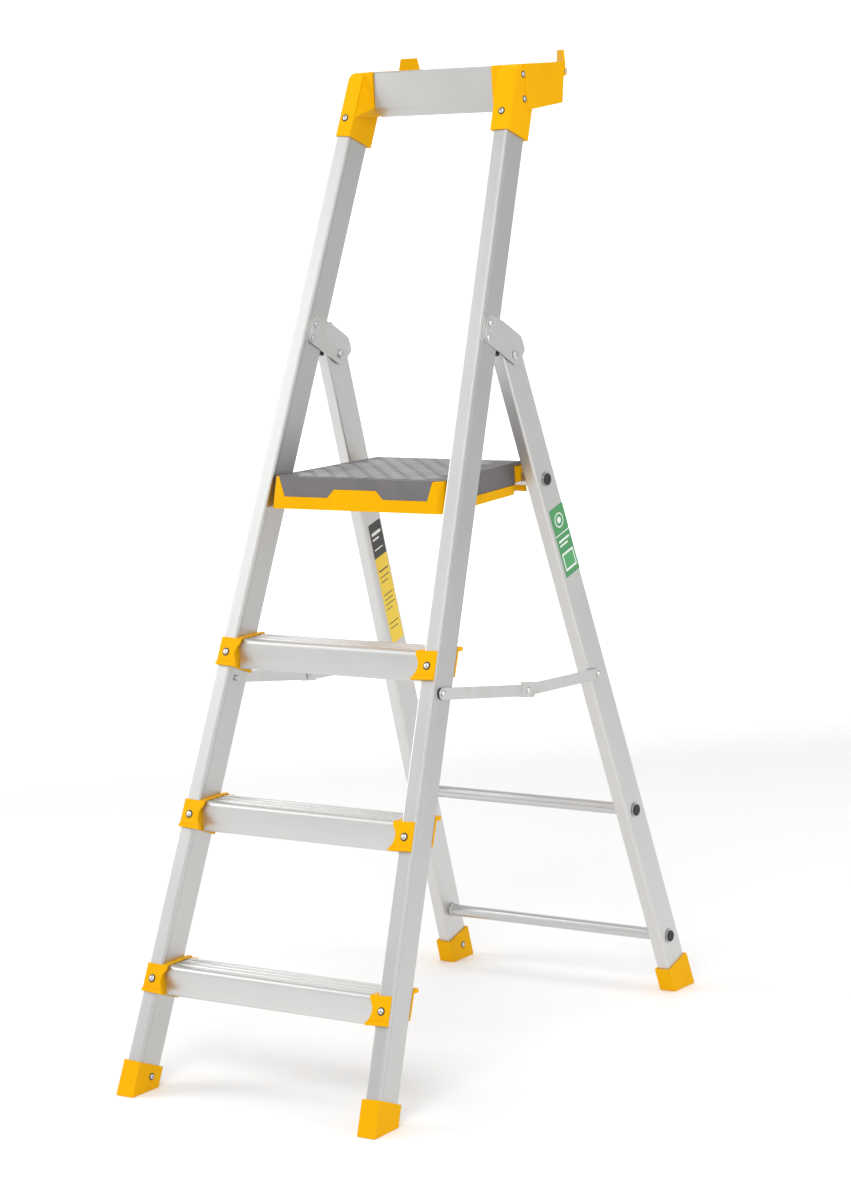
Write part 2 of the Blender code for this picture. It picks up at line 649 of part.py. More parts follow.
def make_hinge(plate_material, rivet_material, spacer_material, bolt_material):
    """Outer and inner plates on each stile, their rivets, the pivot bolts and the spacers."""
    pivot_cut = (Vector((0.10, PIVOT_Y, PIVOT_Z)), (1, 0, 0), PIVOT_RADIUS + GAP, 0.12)

    def place(p, q, r):
        return STILE.at(r, PIVOT_V + p, PIVOT_S + q)

    sides = {"outer": (STILE_WIDTH + GAP, STILE_WIDTH + GAP + PLATE),
             "inner": (-GAP - PLATE, -GAP)}
    for side, (low, high) in sides.items():
        plate = prism("plate", place, plate_outline(), low, high)
        holes = [drill(*pivot_cut)]
        for v, s in HINGE_RIVETS:
            holes.append(drill(STILE.at(-0.010, PIVOT_V + v, PIVOT_S + s), STILE.u,
                               RIVET_RADIUS + GAP, 0.050))
        add_pair(f"hinge_plate_{side}", cut(plate, *holes), plate_material)

    span = STILE_WIDTH + 2 * (PLATE + 2 * GAP)
    for number, (v, s) in enumerate(HINGE_RIVETS, start=1):
        base = STILE.at(-PLATE - 2 * GAP, PIVOT_V + v, PIVOT_S + s)
        profile = [(0.0030, -0.0020), (0.0055, -0.0008), (0.0055, 0.0), (RIVET_RADIUS, 0.0),
                   (RIVET_RADIUS, span), (0.0055, span), (0.0055, span + 0.0008),
                   (0.0030, span + 0.0020)]
        add_pair(f"hinge_rivet_{number}", turned("rivet", base, STILE.u, profile, 12),
                 rivet_material)

    outer_face = STILE.at(STILE_WIDTH + GAP + PLATE, PIVOT_V, PIVOT_S).x + 0.0006
    inner_face = STILE.at(-GAP - PLATE, PIVOT_V, PIVOT_S).x - 0.0006
    base = Vector((inner_face, PIVOT_Y, PIVOT_Z))
    reach = outer_face - inner_face
    profile = [(0.0055, -0.0040), (0.0070, -0.0032), (0.0070, 0.0), (PIVOT_RADIUS, 0.0),
               (PIVOT_RADIUS, reach), (0.0070, reach), (0.0070, reach + 0.0016),
               (0.0045, reach + 0.0034)]
    add_pair("pivot_bolt", turned("bolt", base, (1, 0, 0), profile, 14), bolt_material)

    add_pair("hinge_spacer", spacer_mesh(), spacer_material, smooth=False)


def spacer_mesh():
    """Plastic filler between the hinge plates, against the stile's rear face."""
    outline = [(-0.0446, -0.0105), (-0.0335, -0.0105), (-0.0335, 0.0370), (-0.0295, 0.0395),
               (-0.0295, 0.0440), (-0.0330, 0.0450), (-0.0350, 0.0395), (-0.0446, 0.0390)]

    def place(p, q, r):
        return STILE.at(r, PIVOT_V + p, PIVOT_S + q)

    return prism("spacer", place, outline, 0.0020, STILE_WIDTH - 0.0020)


# ---- rear frame ---------------------------------------------------------------------------
def leg_centre_y(z):
    """Y of the rear legs' middle at height z."""
    return PIVOT_Y + TAN_REAR * (PIVOT_Z - z)


def leg_outer_x(z):
    """Half width over the rear legs at height z."""
    return LEG_OUTER_AT_PIVOT + REAR_TAPER * (PIVOT_Z - z)


REAR_FOOT_SCREW = (0.0300, 0.0165)


def make_rear_legs(material, rear_axis):
    """The two legs, drilled for the cross tubes, the pivot bolts and the foot screws."""
    outline = rounded_rectangle(0.0, 0.0, LEG_WIDTH, LEG_DEPTH, 0.0030)
    low = LEG.s_at_level(LEG_BOTTOM_Z)
    high = LEG.coordinates((LEG.foot.x, PIVOT_Y, PIVOT_Z))[2] + LEG_ABOVE_PIVOT
    body = hollow_rail("leg", LEG, outline, LEG_WIDTH, LEG_DEPTH, LEG_WALL, low, high)
    holes = [drill(Vector((0.10, PIVOT_Y, PIVOT_Z)), (1, 0, 0), PIVOT_RADIUS + GAP, 0.12)]
    for height in TUBE_HEIGHTS.values():
        holes.append(drill(Vector((0.10, leg_centre_y(height), height)), (1, 0, 0),
                           TUBE_RADIUS + GAP, 0.20, 24))
    holes.append(drill(LEG.at(-0.002, *REAR_FOOT_SCREW), LEG.u, 0.0025, 0.006))
    add_pair("rear_leg", cut(body, *holes), material, rear_axis)


def make_cross_tubes(material, rear_axis):
    """Round tubes between the legs, swaged on both sides of each leg's walls."""
    for name, height in TUBE_HEIGHTS.items():
        outer_end = leg_outer_x(height) + 0.0022
        inner_face = leg_outer_x(height) - LEG_WIDTH - 0.0014
        radius = TUBE_RADIUS
        profile = [(radius + 0.0018, -outer_end), (radius + 0.0018, -outer_end + 0.0010),
                   (radius, -outer_end + 0.0012), (radius, -inner_face),
                   (radius + 0.0016, -inner_face + 0.0010), (radius, -inner_face + 0.0030)]
        profile += [(r, -x) for r, x in reversed(profile)]
        base = Vector((0.0, leg_centre_y(height), height))
        solid = turned("tube", base, (1, 0, 0), profile, 24)
        bore = drill(base - Vector((0.3, 0, 0)), (1, 0, 0), radius - 0.0014, 0.6, 24)
        add_part(f"{name}_cross_tube", cut(solid, bore), material, rear_axis)


def make_rear_feet(material, screw_material, rear_axis):
    """Shoes of the rear legs, higher behind than in front."""
    end_s = LEG.s_at_level(LEG_BOTTOM_Z)
    foot = foot_mesh(LEG, LEG_WIDTH, LEG_DEPTH, end_s, (0.0390, 0.0395))
    foot = cut(foot, drill(LEG.at(-0.008, *REAR_FOOT_SCREW), LEG.u, 0.0025, 0.010))
    add_pair("rear_foot", foot, material, rear_axis, smooth=False)
    screw = screw_mesh(LEG.at(-WALL - 2 * GAP, *REAR_FOOT_SCREW), LEG.u, 0.0048, 0.0022,
                       0.0022, 0.0100)
    add_pair("rear_foot_screw", screw, screw_material, rear_axis)


# ---- platform -----------------------------------------------------------------------------
def platform_half(y):
    """Half width of the platform at a distance behind the foot line."""
    share = (y - PLATFORM_FRONT) / (PLATFORM_REAR - PLATFORM_FRONT)
    return PLATFORM_HALF_FRONT + (PLATFORM_HALF_REAR - PLATFORM_HALF_FRONT) * share


def plan_outline(inset, front_radius=0.0130):
    """Plan outline of the platform, inset on all sides, with round front corners."""
    front = PLATFORM_FRONT + inset
    rear = PLATFORM_REAR - inset
    points = []
    for k in range(5):
        angle = math.radians(22.5 * k)
        x = platform_half(front) - inset - front_radius * (1 - math.sin(angle))
        y = front + front_radius * (1 - math.cos(angle))
        points.append((x, y))
    right = points + [(platform_half(rear) - inset, rear)]
    return right + [(-x, y) for x, y in reversed(right)]


def corner_outline(skin, half, corner_end, rear):
    """Plan of the room behind the tray's front wall, which wraps round the front corners."""
    points = []
    for x, y in plan_outline(skin, 0.0190):
        if x > 0 and y < corner_end:
            points.append((x, y))
    points.append((platform_half(corner_end) - skin, corner_end))
    points += [(half, corner_end), (half, rear)] if half > 0.2 else []
    return points + [(-x, y) for x, y in reversed(points)]


def plan_place(p, q, r):
    """World point of a plan point at a height."""
    return Vector((p, FRONT_Y + q, r))


LIP_OUTER = 0.1345                       # drop-down lips of the pad, along the front
LIP_INNER = 0.0527
LIP_BOTTOM = 0.8660
CREST_HALF = 0.0400                      # raised middle of the tray's front
CREST_Z = 0.8790
TUBE_CENTRE = (leg_centre_y(TUBE_HEIGHTS["upper"]) - FRONT_Y, TUBE_HEIGHTS["upper"])
CORNER_END = PLATFORM_PIVOT[0] - 0.0100  # where the tray's wrapped front corners end
REAR_WALL = 0.0110                       # thickness of the tray's rear edge
POST_Y = TUBE_CENTRE[0] - TUBE_RADIUS - 0.0062    # side posts in front of the cross tube
FRONT_SKIN = 0.0050                      # thickness of its front wall
FRONT_SLOPE = 0.075                      # the front wall leans back by this much


def front_place(p, q, r):
    """World point of an (x, z) outline on the platform's leaning front."""
    return Vector((p, FRONT_Y + r + FRONT_SLOPE * (q - PLATFORM_RIM), q))


def pad_front_outline(margin):
    """(x, z) outline of the pad's front skirt, grown by margin: two lips and a crest."""
    top = PLATFORM_TOP + margin * 4
    right = [(LIP_OUTER + 0.0100 + margin * 3, top), (LIP_OUTER + margin, LIP_BOTTOM - margin),
             (LIP_INNER - margin, LIP_BOTTOM - margin), (CREST_HALF - margin, CREST_Z - margin)]
    return right + [(-x, z) for x, z in reversed(right)]


def make_platform(tray_material, pad_material, axis):
    """Moulded tray with ribs and a hook for the upper cross tube, and the pad on it."""
    rings = ((PLATFORM_BOTTOM, -0.0008, 0.0110), (PLATFORM_RIM - 0.0007, 0.0, 0.0130),
             (PLATFORM_TOP - 0.0008, 0.0025, 0.0190))
    body = loft("tray", [[plan_place(x, y, z) for x, y in plan_outline(inset, radius)]
                         for z, inset, radius in rings])

    room_outline = corner_outline(FRONT_SKIN, 0.30, CORNER_END, PLATFORM_REAR - REAR_WALL)
    upper_room = prism("room", plan_place, room_outline, PLATFORM_RIM, PLATFORM_TOP + 0.01)
    rear_room = box_mesh("rear", (-0.28, FRONT_Y + PLATFORM_REAR - REAR_WALL - 0.001, 0.8912),
                         (0.28, FRONT_Y + PLATFORM_REAR + 0.01, PLATFORM_TOP + 0.02))
    lip_room = prism("lips", front_place, pad_front_outline(GAP), PLATFORM_FRONT - 0.01,
                     PLATFORM_FRONT + FRONT_SKIN + 0.001)
    under = prism("under", plan_place, plan_outline(WALL, 0.0110), PLATFORM_BOTTOM - 0.01,
                  PLATFORM_RIM - WALL)
    tray = cut(body, upper_room, rear_room, lip_room, under)

    tube_y, tube_z = TUBE_CENTRE
    shelf_top = PLATFORM_TOP - PAD_THICKNESS - GAP
    ribs = []
    for x in (-0.1000, -0.0500, 0.0, 0.0500, 0.1000):
        ribs.append(box_mesh("rib", (x - 0.0013, FRONT_Y + PLATFORM_FRONT + 0.0080, 0.8500),
                             (x + 0.0013, FRONT_Y + PLATFORM_REAR - 0.0040, shelf_top)))
    for y in (0.4300, 0.5000, 0.5600):
        half = platform_half(y) - 0.0085
        ribs.append(box_mesh("rib", (-half, FRONT_Y + y - 0.0013, 0.8505),
                             (half, FRONT_Y + y + 0.0013, shelf_top - 0.0002)))
    seat = prism("seat", plan_place,
                 [(-0.1300, tube_y - 0.0200), (0.1300, tube_y - 0.0200),
                  (0.1300, PLATFORM_REAR - 0.0050), (-0.1300, PLATFORM_REAR - 0.0050)],
                 tube_z + TUBE_RADIUS + 0.0008, shelf_top - 0.0003)
    ears = []
    boss_half = platform_half(PLATFORM_PIVOT[0])
    for sign in (1, -1):
        low_x, high_x = sorted((sign * (boss_half - 0.0090), sign * (boss_half - 0.0004)))
        ears.append(box_mesh("ear", (low_x, FRONT_Y + PLATFORM_PIVOT[0] - 0.0107, 0.8580),
                             (high_x, FRONT_Y + PLATFORM_PIVOT[0] + 0.0100, 0.8822)))
    posts = []
    for sign in (1, -1):
        inner = platform_half(POST_Y)
        outline = [(sign * (inner - 0.0125), POST_Y), (sign * (inner + 0.0004), POST_Y),
                   (sign * (inner + 0.0080), POST_Y + 0.0018),
                   (sign * (inner + 0.0080), POST_Y + 0.0052),
                   (sign * (inner - 0.0125), POST_Y + 0.0052)]
        posts.append(prism("post", plan_place, outline, 0.8600, 0.8896))
    tray = join(tray, *ribs, seat, *ears, *posts)

    bores = []
    for sign in (1, -1):
        base = side_point(sign * (boss_half - 0.0140), PLATFORM_PIVOT)
        bores.append(drill(base, (sign, 0, 0), PIVOT_RADIUS + GAP, 0.030))
    add_part("platform_tray", cut(tray, tube_groove(), *bores), tray_material, axis,
             smooth=False)

    add_part("platform_pad", pad_mesh(), pad_material, axis,
             smooth=False)


def tube_groove():
    """Notch open at the bottom that the upper cross tube leaves downwards and forwards."""
    tube_y, tube_z = TUBE_CENTRE
    clearance = TUBE_RADIUS + 0.0005
    outline = [(tube_y + clearance, tube_z - 0.0344), (tube_y + clearance, tube_z)]
    for k in range(1, 7):
        angle = math.radians(22.0 * k)
        outline.append((tube_y + clearance * math.cos(angle),
                        tube_z + clearance * math.sin(angle)))
    outline += [(tube_y - 0.0100, tube_z + 0.0054), (tube_y - 0.0263, tube_z - 0.0223),
                (tube_y - 0.0357, tube_z - 0.0344)]
    return prism("groove", lambda p, q, r: Vector((r, FRONT_Y + p, q)), outline, -0.20, 0.20)


def pad_mesh():
    """Pad: a thin slab with skirts down the sides and two lips over the tray's front."""
    rear = PLATFORM_REAR - REAR_WALL - GAP
    right = corner_outline(FRONT_SKIN + GAP, 0.0, CORNER_END + GAP, rear)
    right = [(x, y) for x, y in right if x > 0]
    right += [(platform_half(CORNER_END) - 0.0012, CORNER_END + GAP),
              (platform_half(rear) - 0.0012, rear)]
    outline = right + [(-x, y) for x, y in reversed(right)]
    slab = prism("pad", plan_place, outline, PLATFORM_TOP - PAD_THICKNESS, PLATFORM_TOP)
    skirts = []
    for sign in (1, -1):
        front_y = CORNER_END + GAP
        rear_y = POST_Y - GAP
        outer = 0.0012
        inner = 0.0048
        outline = [(sign * (platform_half(front_y) - outer), front_y),
                   (sign * (platform_half(rear_y) - outer), rear_y),
                   (sign * (platform_half(rear_y) - inner), rear_y),
                   (sign * (platform_half(front_y) - inner), front_y)]
        skirts.append(prism("skirt", plan_place, outline, PLATFORM_RIM + GAP,
                            PLATFORM_TOP - 0.0030))
    slab = join(slab, *skirts)
    over = box_mesh("over", (-0.3, FRONT_Y + PLATFORM_FRONT - 0.01, PLATFORM_TOP - 0.02),
                    (0.3, FRONT_Y + PLATFORM_FRONT + FRONT_SKIN + GAP, PLATFORM_TOP + 0.02))
    slab = cut(slab, over)
    tongue = box_mesh("tongue", (-LIP_OUTER, FRONT_Y + PLATFORM_FRONT + 0.0030,
                                 PLATFORM_TOP - 0.0052),
                      (LIP_OUTER, FRONT_Y + PLATFORM_FRONT + 0.0060, PLATFORM_TOP - 0.0005))
    low = prism("low", front_place, pad_front_outline(0.0), PLATFORM_FRONT + 0.0004,
                PLATFORM_FRONT + FRONT_SKIN)
    ceiling = box_mesh("ceiling", (-0.3, -1.0, PLATFORM_TOP), (0.3, 1.0, PLATFORM_TOP + 0.05))
    gaps = []
    for sign in (1, -1):
        low_x, high_x = sorted((sign * 0.1450, sign * 0.1700))
        gaps.append(box_mesh("gap", (low_x, FRONT_Y + PLATFORM_PIVOT[0] - 0.0104, 0.8500),
                             (high_x, FRONT_Y + PLATFORM_PIVOT[0] + 0.0104, 0.8826)))
    return cut(join(slab, tongue, low), ceiling, tube_groove(), *gaps)


def make_platform_pivots(material):
    """Flanged pins in the stiles' inner walls that carry the platform."""
    wall_x = platform_pivot_wall()
    tray_x = platform_half(PLATFORM_PIVOT[0])
    base = side_point(tray_x - 0.0080, PLATFORM_PIVOT)
    collar = tray_x + 0.0004 - base.x
    wall = wall_x - 0.0009 - base.x
    profile = [(PIVOT_RADIUS - 0.0006, 0.0), (PIVOT_RADIUS, 0.0006), (PIVOT_RADIUS, collar),
               (0.0072, collar), (0.0072, wall), (PIVOT_RADIUS, wall),
               (PIVOT_RADIUS, wall + 0.0045)]
    add_pair("platform_pivot", turned("pin", base, (1, 0, 0), profile, 14), material)


# ---- spreaders ----------------------------------------------------------------------------
def bar_outline(start, end, overhang):
    """(y, z) outline of a flat bar between two pivots, with round ends."""
    start = Vector(start)
    end = Vector(end)
    along = (end - start).normalized()
    up = Vector((-along.y, along.x))
    radius = SPREADER_HEIGHT / 2
    points = []
    for centre, heading in ((end, 1.0), (start, -1.0)):
        for k in range(7):
            angle = math.radians(-90.0 + 30.0 * k)
            spoke = along * (math.cos(angle) * heading * (radius + overhang) / 1.0)
            spoke += up * (math.sin(angle) * heading * radius)
            points.append(tuple(centre + spoke))
    return points


def make_spreaders(bar_material, rivet_material, axes):
    """Flat folding bars on the outer sides: front bar, rear bar, and their rivets."""
    bar_clear = RIVET_RADIUS + GAP
    front_low = SPREADER_LAYER_FRONT
    rear_low = SPREADER_LAYER_REAR

    def place(p, q, r):
        return Vector((r, FRONT_Y + p, q))

    front = prism("front", place, bar_outline(SPREADER_FRONT, SPREADER_KNEE, 0.0), front_low,
                  front_low + SPREADER_SKIN)
    along = (Vector(SPREADER_KNEE) - Vector(SPREADER_FRONT)).normalized()
    up = Vector((-along.y, along.x))
    knee = Vector(SPREADER_KNEE)

    def clip_point(a, b):
        return tuple(knee + along * a + up * b)

    clip = prism("clip", place, [clip_point(-0.0170, -0.0102), clip_point(0.0165, -0.0102),
                                 clip_point(0.0165, 0.0131), clip_point(-0.0170, 0.0131)],
                 front_low + 0.0009, front_low + SPREADER_SKIN + 0.0015)
    stop = prism("stop", place, [clip_point(-0.0165, 0.0114), clip_point(0.0160, 0.0114),
                                 clip_point(0.0160, 0.0127), clip_point(-0.0165, 0.0127)],
                 rear_low + 0.0002, front_low + SPREADER_SKIN + 0.0004)
    holes = [drill(side_point(0.19, SPREADER_FRONT), (1, 0, 0), bar_clear, 0.04),
             drill(side_point(0.19, SPREADER_KNEE), (1, 0, 0), bar_clear, 0.04)]
    front = cut(join(front, clip, stop), *holes)
    rear = prism("rear", place, bar_outline(SPREADER_KNEE, SPREADER_REAR, 0.0), rear_low,
                 rear_low + SPREADER_SKIN)
    rear = cut(rear, drill(side_point(0.19, SPREADER_KNEE), (1, 0, 0), bar_clear, 0.04),
               drill(side_point(0.19, SPREADER_REAR), (1, 0, 0), bar_clear, 0.04))

    head = 0.0056
    knee_low = rear_low - GAP
    knee_high = front_low + SPREADER_SKIN + 0.0015 + GAP
    knee_rivet = rivet_mesh(SPREADER_KNEE, knee_low, knee_high, head, 0.0007)
    rear_rivet = rivet_mesh(SPREADER_REAR, rear_low - GAP, rear_low + SPREADER_SKIN + GAP, head,
                            0.0003)
    inner_x = SPREADER_RIVET_X - STILE_WIDTH - 0.0012
    front_rivet = rivet_mesh(SPREADER_FRONT, inner_x, front_low + SPREADER_SKIN + GAP, head,
                             0.0050)
    add_pair("spreader_front_rivet", front_rivet, rivet_material)
    for prefix, flip in (("right", False), ("left", True)):
        pieces = ((f"{prefix}_spreader_front_bar", front, bar_material, "front"),
                  (f"{prefix}_spreader_knee_rivet", knee_rivet, rivet_material, "front"),
                  (f"{prefix}_spreader_rear_bar", rear, bar_material, "rear"),
                  (f"{prefix}_spreader_rear_rivet", rear_rivet, rivet_material, "rear"))
        for name, mesh, material, carrier in pieces:
            copy = mirrored(mesh) if flip else mesh.copy()
            add_part(name, copy, material, axes[f"{prefix}_{carrier}"])


def rivet_mesh(place, low, high, head_radius, tail_height):
    """Rivet along X from low to high, with a domed outer head and a flat inner one."""
    span = high - low
    profile = [(head_radius * 0.8, -tail_height), (head_radius * 0.8, 0.0), (RIVET_RADIUS, 0.0),
               (RIVET_RADIUS, span), (head_radius, span), (head_radius, span + 0.0008),
               (head_radius * 0.5, span + 0.0022)]
    return turned("rivet", side_point(low, place), (1, 0, 0), profile, 12)


# ---- the ladder ---------------------------------------------------------------------------
def main():
    """Clear the scene and build every sub-part."""
    for existing in list(bpy.data.objects):
        bpy.data.objects.remove(existing)
    aluminium = make_material("aluminium", (0.78, 0.78, 0.77), 0.38, 1.0)
    tread = make_material("tread_aluminium", (0.80, 0.80, 0.78), 0.42, 1.0)
    yellow = make_material("yellow_plastic", (0.86, 0.55, 0.02), 0.42, 0.0)
    grey = make_material("grey_pad", (0.17, 0.165, 0.17), 0.65, 0.0)
    black = make_material("black_plastic", (0.03, 0.03, 0.03), 0.5, 0.0)
    zinc = make_material("zinc_steel", (0.62, 0.63, 0.64), 0.35, 1.0)
    plate = make_material("plate_steel", (0.55, 0.56, 0.57), 0.4, 1.0)

    rear_axis = add_axis("rear_fold_axis", (0.0, PIVOT_Y, PIVOT_Z))
    platform_axis = add_axis("platform_axis", side_point(0.0, PLATFORM_PIVOT))
    spreader_axes = {}
    for prefix, sign in (("right", 1), ("left", -1)):
        front_location = side_point(sign * SPREADER_LAYER_FRONT, SPREADER_FRONT)
        rear_location = side_point(sign * SPREADER_LAYER_REAR, SPREADER_KNEE)
        spreader_axes[f"{prefix}_front"] = add_axis(f"{prefix}_spreader_axis", front_location)
        spreader_axes[f"{prefix}_rear"] = add_axis(f"{prefix}_knee_axis", rear_location)

    make_stiles(aluminium)
    make_steps(tread)
    make_sockets(yellow)
    make_step_bolts(zinc)
    make_front_feet(yellow, zinc)
    make_crossbar(aluminium)
    add_pair("top_bracket", bracket_mesh(), yellow, smooth=False)
    make_hinge(plate, zinc, black, zinc)
    make_rear_legs(aluminium, rear_axis)
    make_cross_tubes(aluminium, rear_axis)
    make_rear_feet(yellow, zinc, rear_axis)
    make_platform(yellow, grey, platform_axis)
    make_platform_pivots(zinc)
    make_spreaders(plate, zinc, spreader_axes)


main()
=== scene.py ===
"""Looks for the folding platform step ladder: finishes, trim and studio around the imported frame.

Lengths are in metres, +Z is up, and the climbing side faces -Y.
"""

import json
import logging
import math
from dataclasses import dataclass, field
from enum import Enum
from typing import Iterable, Mapping, Optional, Sequence, Union

import bmesh
import bpy
from mathutils import Matrix, Vector

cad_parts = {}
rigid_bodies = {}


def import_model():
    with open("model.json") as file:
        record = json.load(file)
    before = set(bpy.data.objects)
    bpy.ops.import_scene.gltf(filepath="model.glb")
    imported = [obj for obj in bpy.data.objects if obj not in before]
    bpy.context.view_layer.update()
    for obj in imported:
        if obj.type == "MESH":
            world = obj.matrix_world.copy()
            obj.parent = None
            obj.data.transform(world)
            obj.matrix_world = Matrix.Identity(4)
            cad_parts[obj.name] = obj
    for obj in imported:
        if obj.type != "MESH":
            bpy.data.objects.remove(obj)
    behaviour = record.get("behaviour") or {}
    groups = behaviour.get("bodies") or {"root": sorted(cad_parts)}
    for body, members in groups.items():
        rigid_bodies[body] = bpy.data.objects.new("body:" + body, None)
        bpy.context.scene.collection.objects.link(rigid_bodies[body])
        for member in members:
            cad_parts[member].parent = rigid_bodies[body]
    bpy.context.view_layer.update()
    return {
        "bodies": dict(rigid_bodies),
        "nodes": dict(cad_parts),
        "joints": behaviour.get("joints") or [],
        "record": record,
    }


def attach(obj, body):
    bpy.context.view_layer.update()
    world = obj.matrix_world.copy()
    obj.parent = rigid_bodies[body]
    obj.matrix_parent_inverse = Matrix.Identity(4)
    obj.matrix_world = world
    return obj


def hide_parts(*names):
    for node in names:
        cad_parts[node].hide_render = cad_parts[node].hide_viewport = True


LOG = logging.getLogger("ladder")
Colour = tuple[float, float, float]
Outline = Sequence[tuple[float, float]]
SIDES = (("right", 1.0), ("left", -1.0))
ACROSS = Vector((1, 0, 0))
MIX_FACTOR, MIX_FIRST, MIX_SECOND, MIX_RESULT = 0, 6, 7, 2    # a Mix node's colour sockets


# ---- shader maths -------------------------------------------------------------------------
class Signal:
    """A shader socket that takes part in arithmetic."""

    def __init__(self, graph: "Graph", socket: bpy.types.NodeSocket) -> None:
        """Keep an output socket and the graph that owns it."""
        self.graph = graph
        self.socket = socket

    @property
    def is_vector(self) -> bool:
        """Whether the socket carries three numbers."""
        return self.socket.type in {"VECTOR", "RGBA"}

    def maths(self, operation: str, *others: "Value", swapped: bool = False) -> "Signal":
        """Combine this signal with others.

        Args:
            operation: name of the Math or Vector Math operation.
            others: the further operands.
            swapped: whether this signal is the second operand.

        Returns:
            The result's signal.
        """
        operands: list[Value] = [self, *others]
        if swapped:
            operands.reverse()
        vector = any(isinstance(o, Signal) and o.is_vector for o in operands)
        if vector:
            spread = [o if isinstance(o, Signal) else (float(o),) * 3 for o in operands]
            return self.graph.node("ShaderNodeVectorMath", {"operation": operation},
                                   dict(enumerate(spread)))
        return self.graph.node("ShaderNodeMath", {"operation": operation},
                               dict(enumerate(operands)))

    def __add__(self, other: "Value") -> "Signal":
        """This signal plus another."""
        return self.maths("ADD", other)

    def __radd__(self, other: "Value") -> "Signal":
        """Another value plus this signal."""
        return self.maths("ADD", other)

    def __sub__(self, other: "Value") -> "Signal":
        """This signal less another."""
        return self.maths("SUBTRACT", other)

    def __rsub__(self, other: "Value") -> "Signal":
        """Another value less this signal."""
        return self.maths("SUBTRACT", other, swapped=True)

    def __mul__(self, other: "Value") -> "Signal":
        """This signal times another."""
        return self.maths("MULTIPLY", other)

    def __rmul__(self, other: "Value") -> "Signal":
        """Another value times this signal."""
        return self.maths("MULTIPLY", other)

    def above(self, limit: float) -> "Signal":
        """One where the signal is greater than the limit, and zero elsewhere."""
        return self.maths("GREATER_THAN", limit)

    def below(self, limit: float) -> "Signal":
        """One where the signal is less than the limit, and zero elsewhere."""
        return self.maths("LESS_THAN", limit)

    def between(self, low: float, high: float) -> "Signal":
        """One between two limits, and zero elsewhere."""
        return self.above(low) * self.below(high)

    def ramp(self, low: float, high: float) -> "Signal":
        """Smooth step from zero to one as the signal goes from low to high.

        Args:
            low: signal at which the step begins.
            high: signal at which it is complete.

        Returns:
            The step's signal.
        """
        settings = {"interpolation_type": "SMOOTHSTEP", "clamp": True}
        return self.graph.node("ShaderNodeMapRange", settings,
                               {"Value": self, "From Min": low, "From Max": high})


Value = Union[Signal, float]
SocketValue = Union[Signal, float, Sequence[float]]


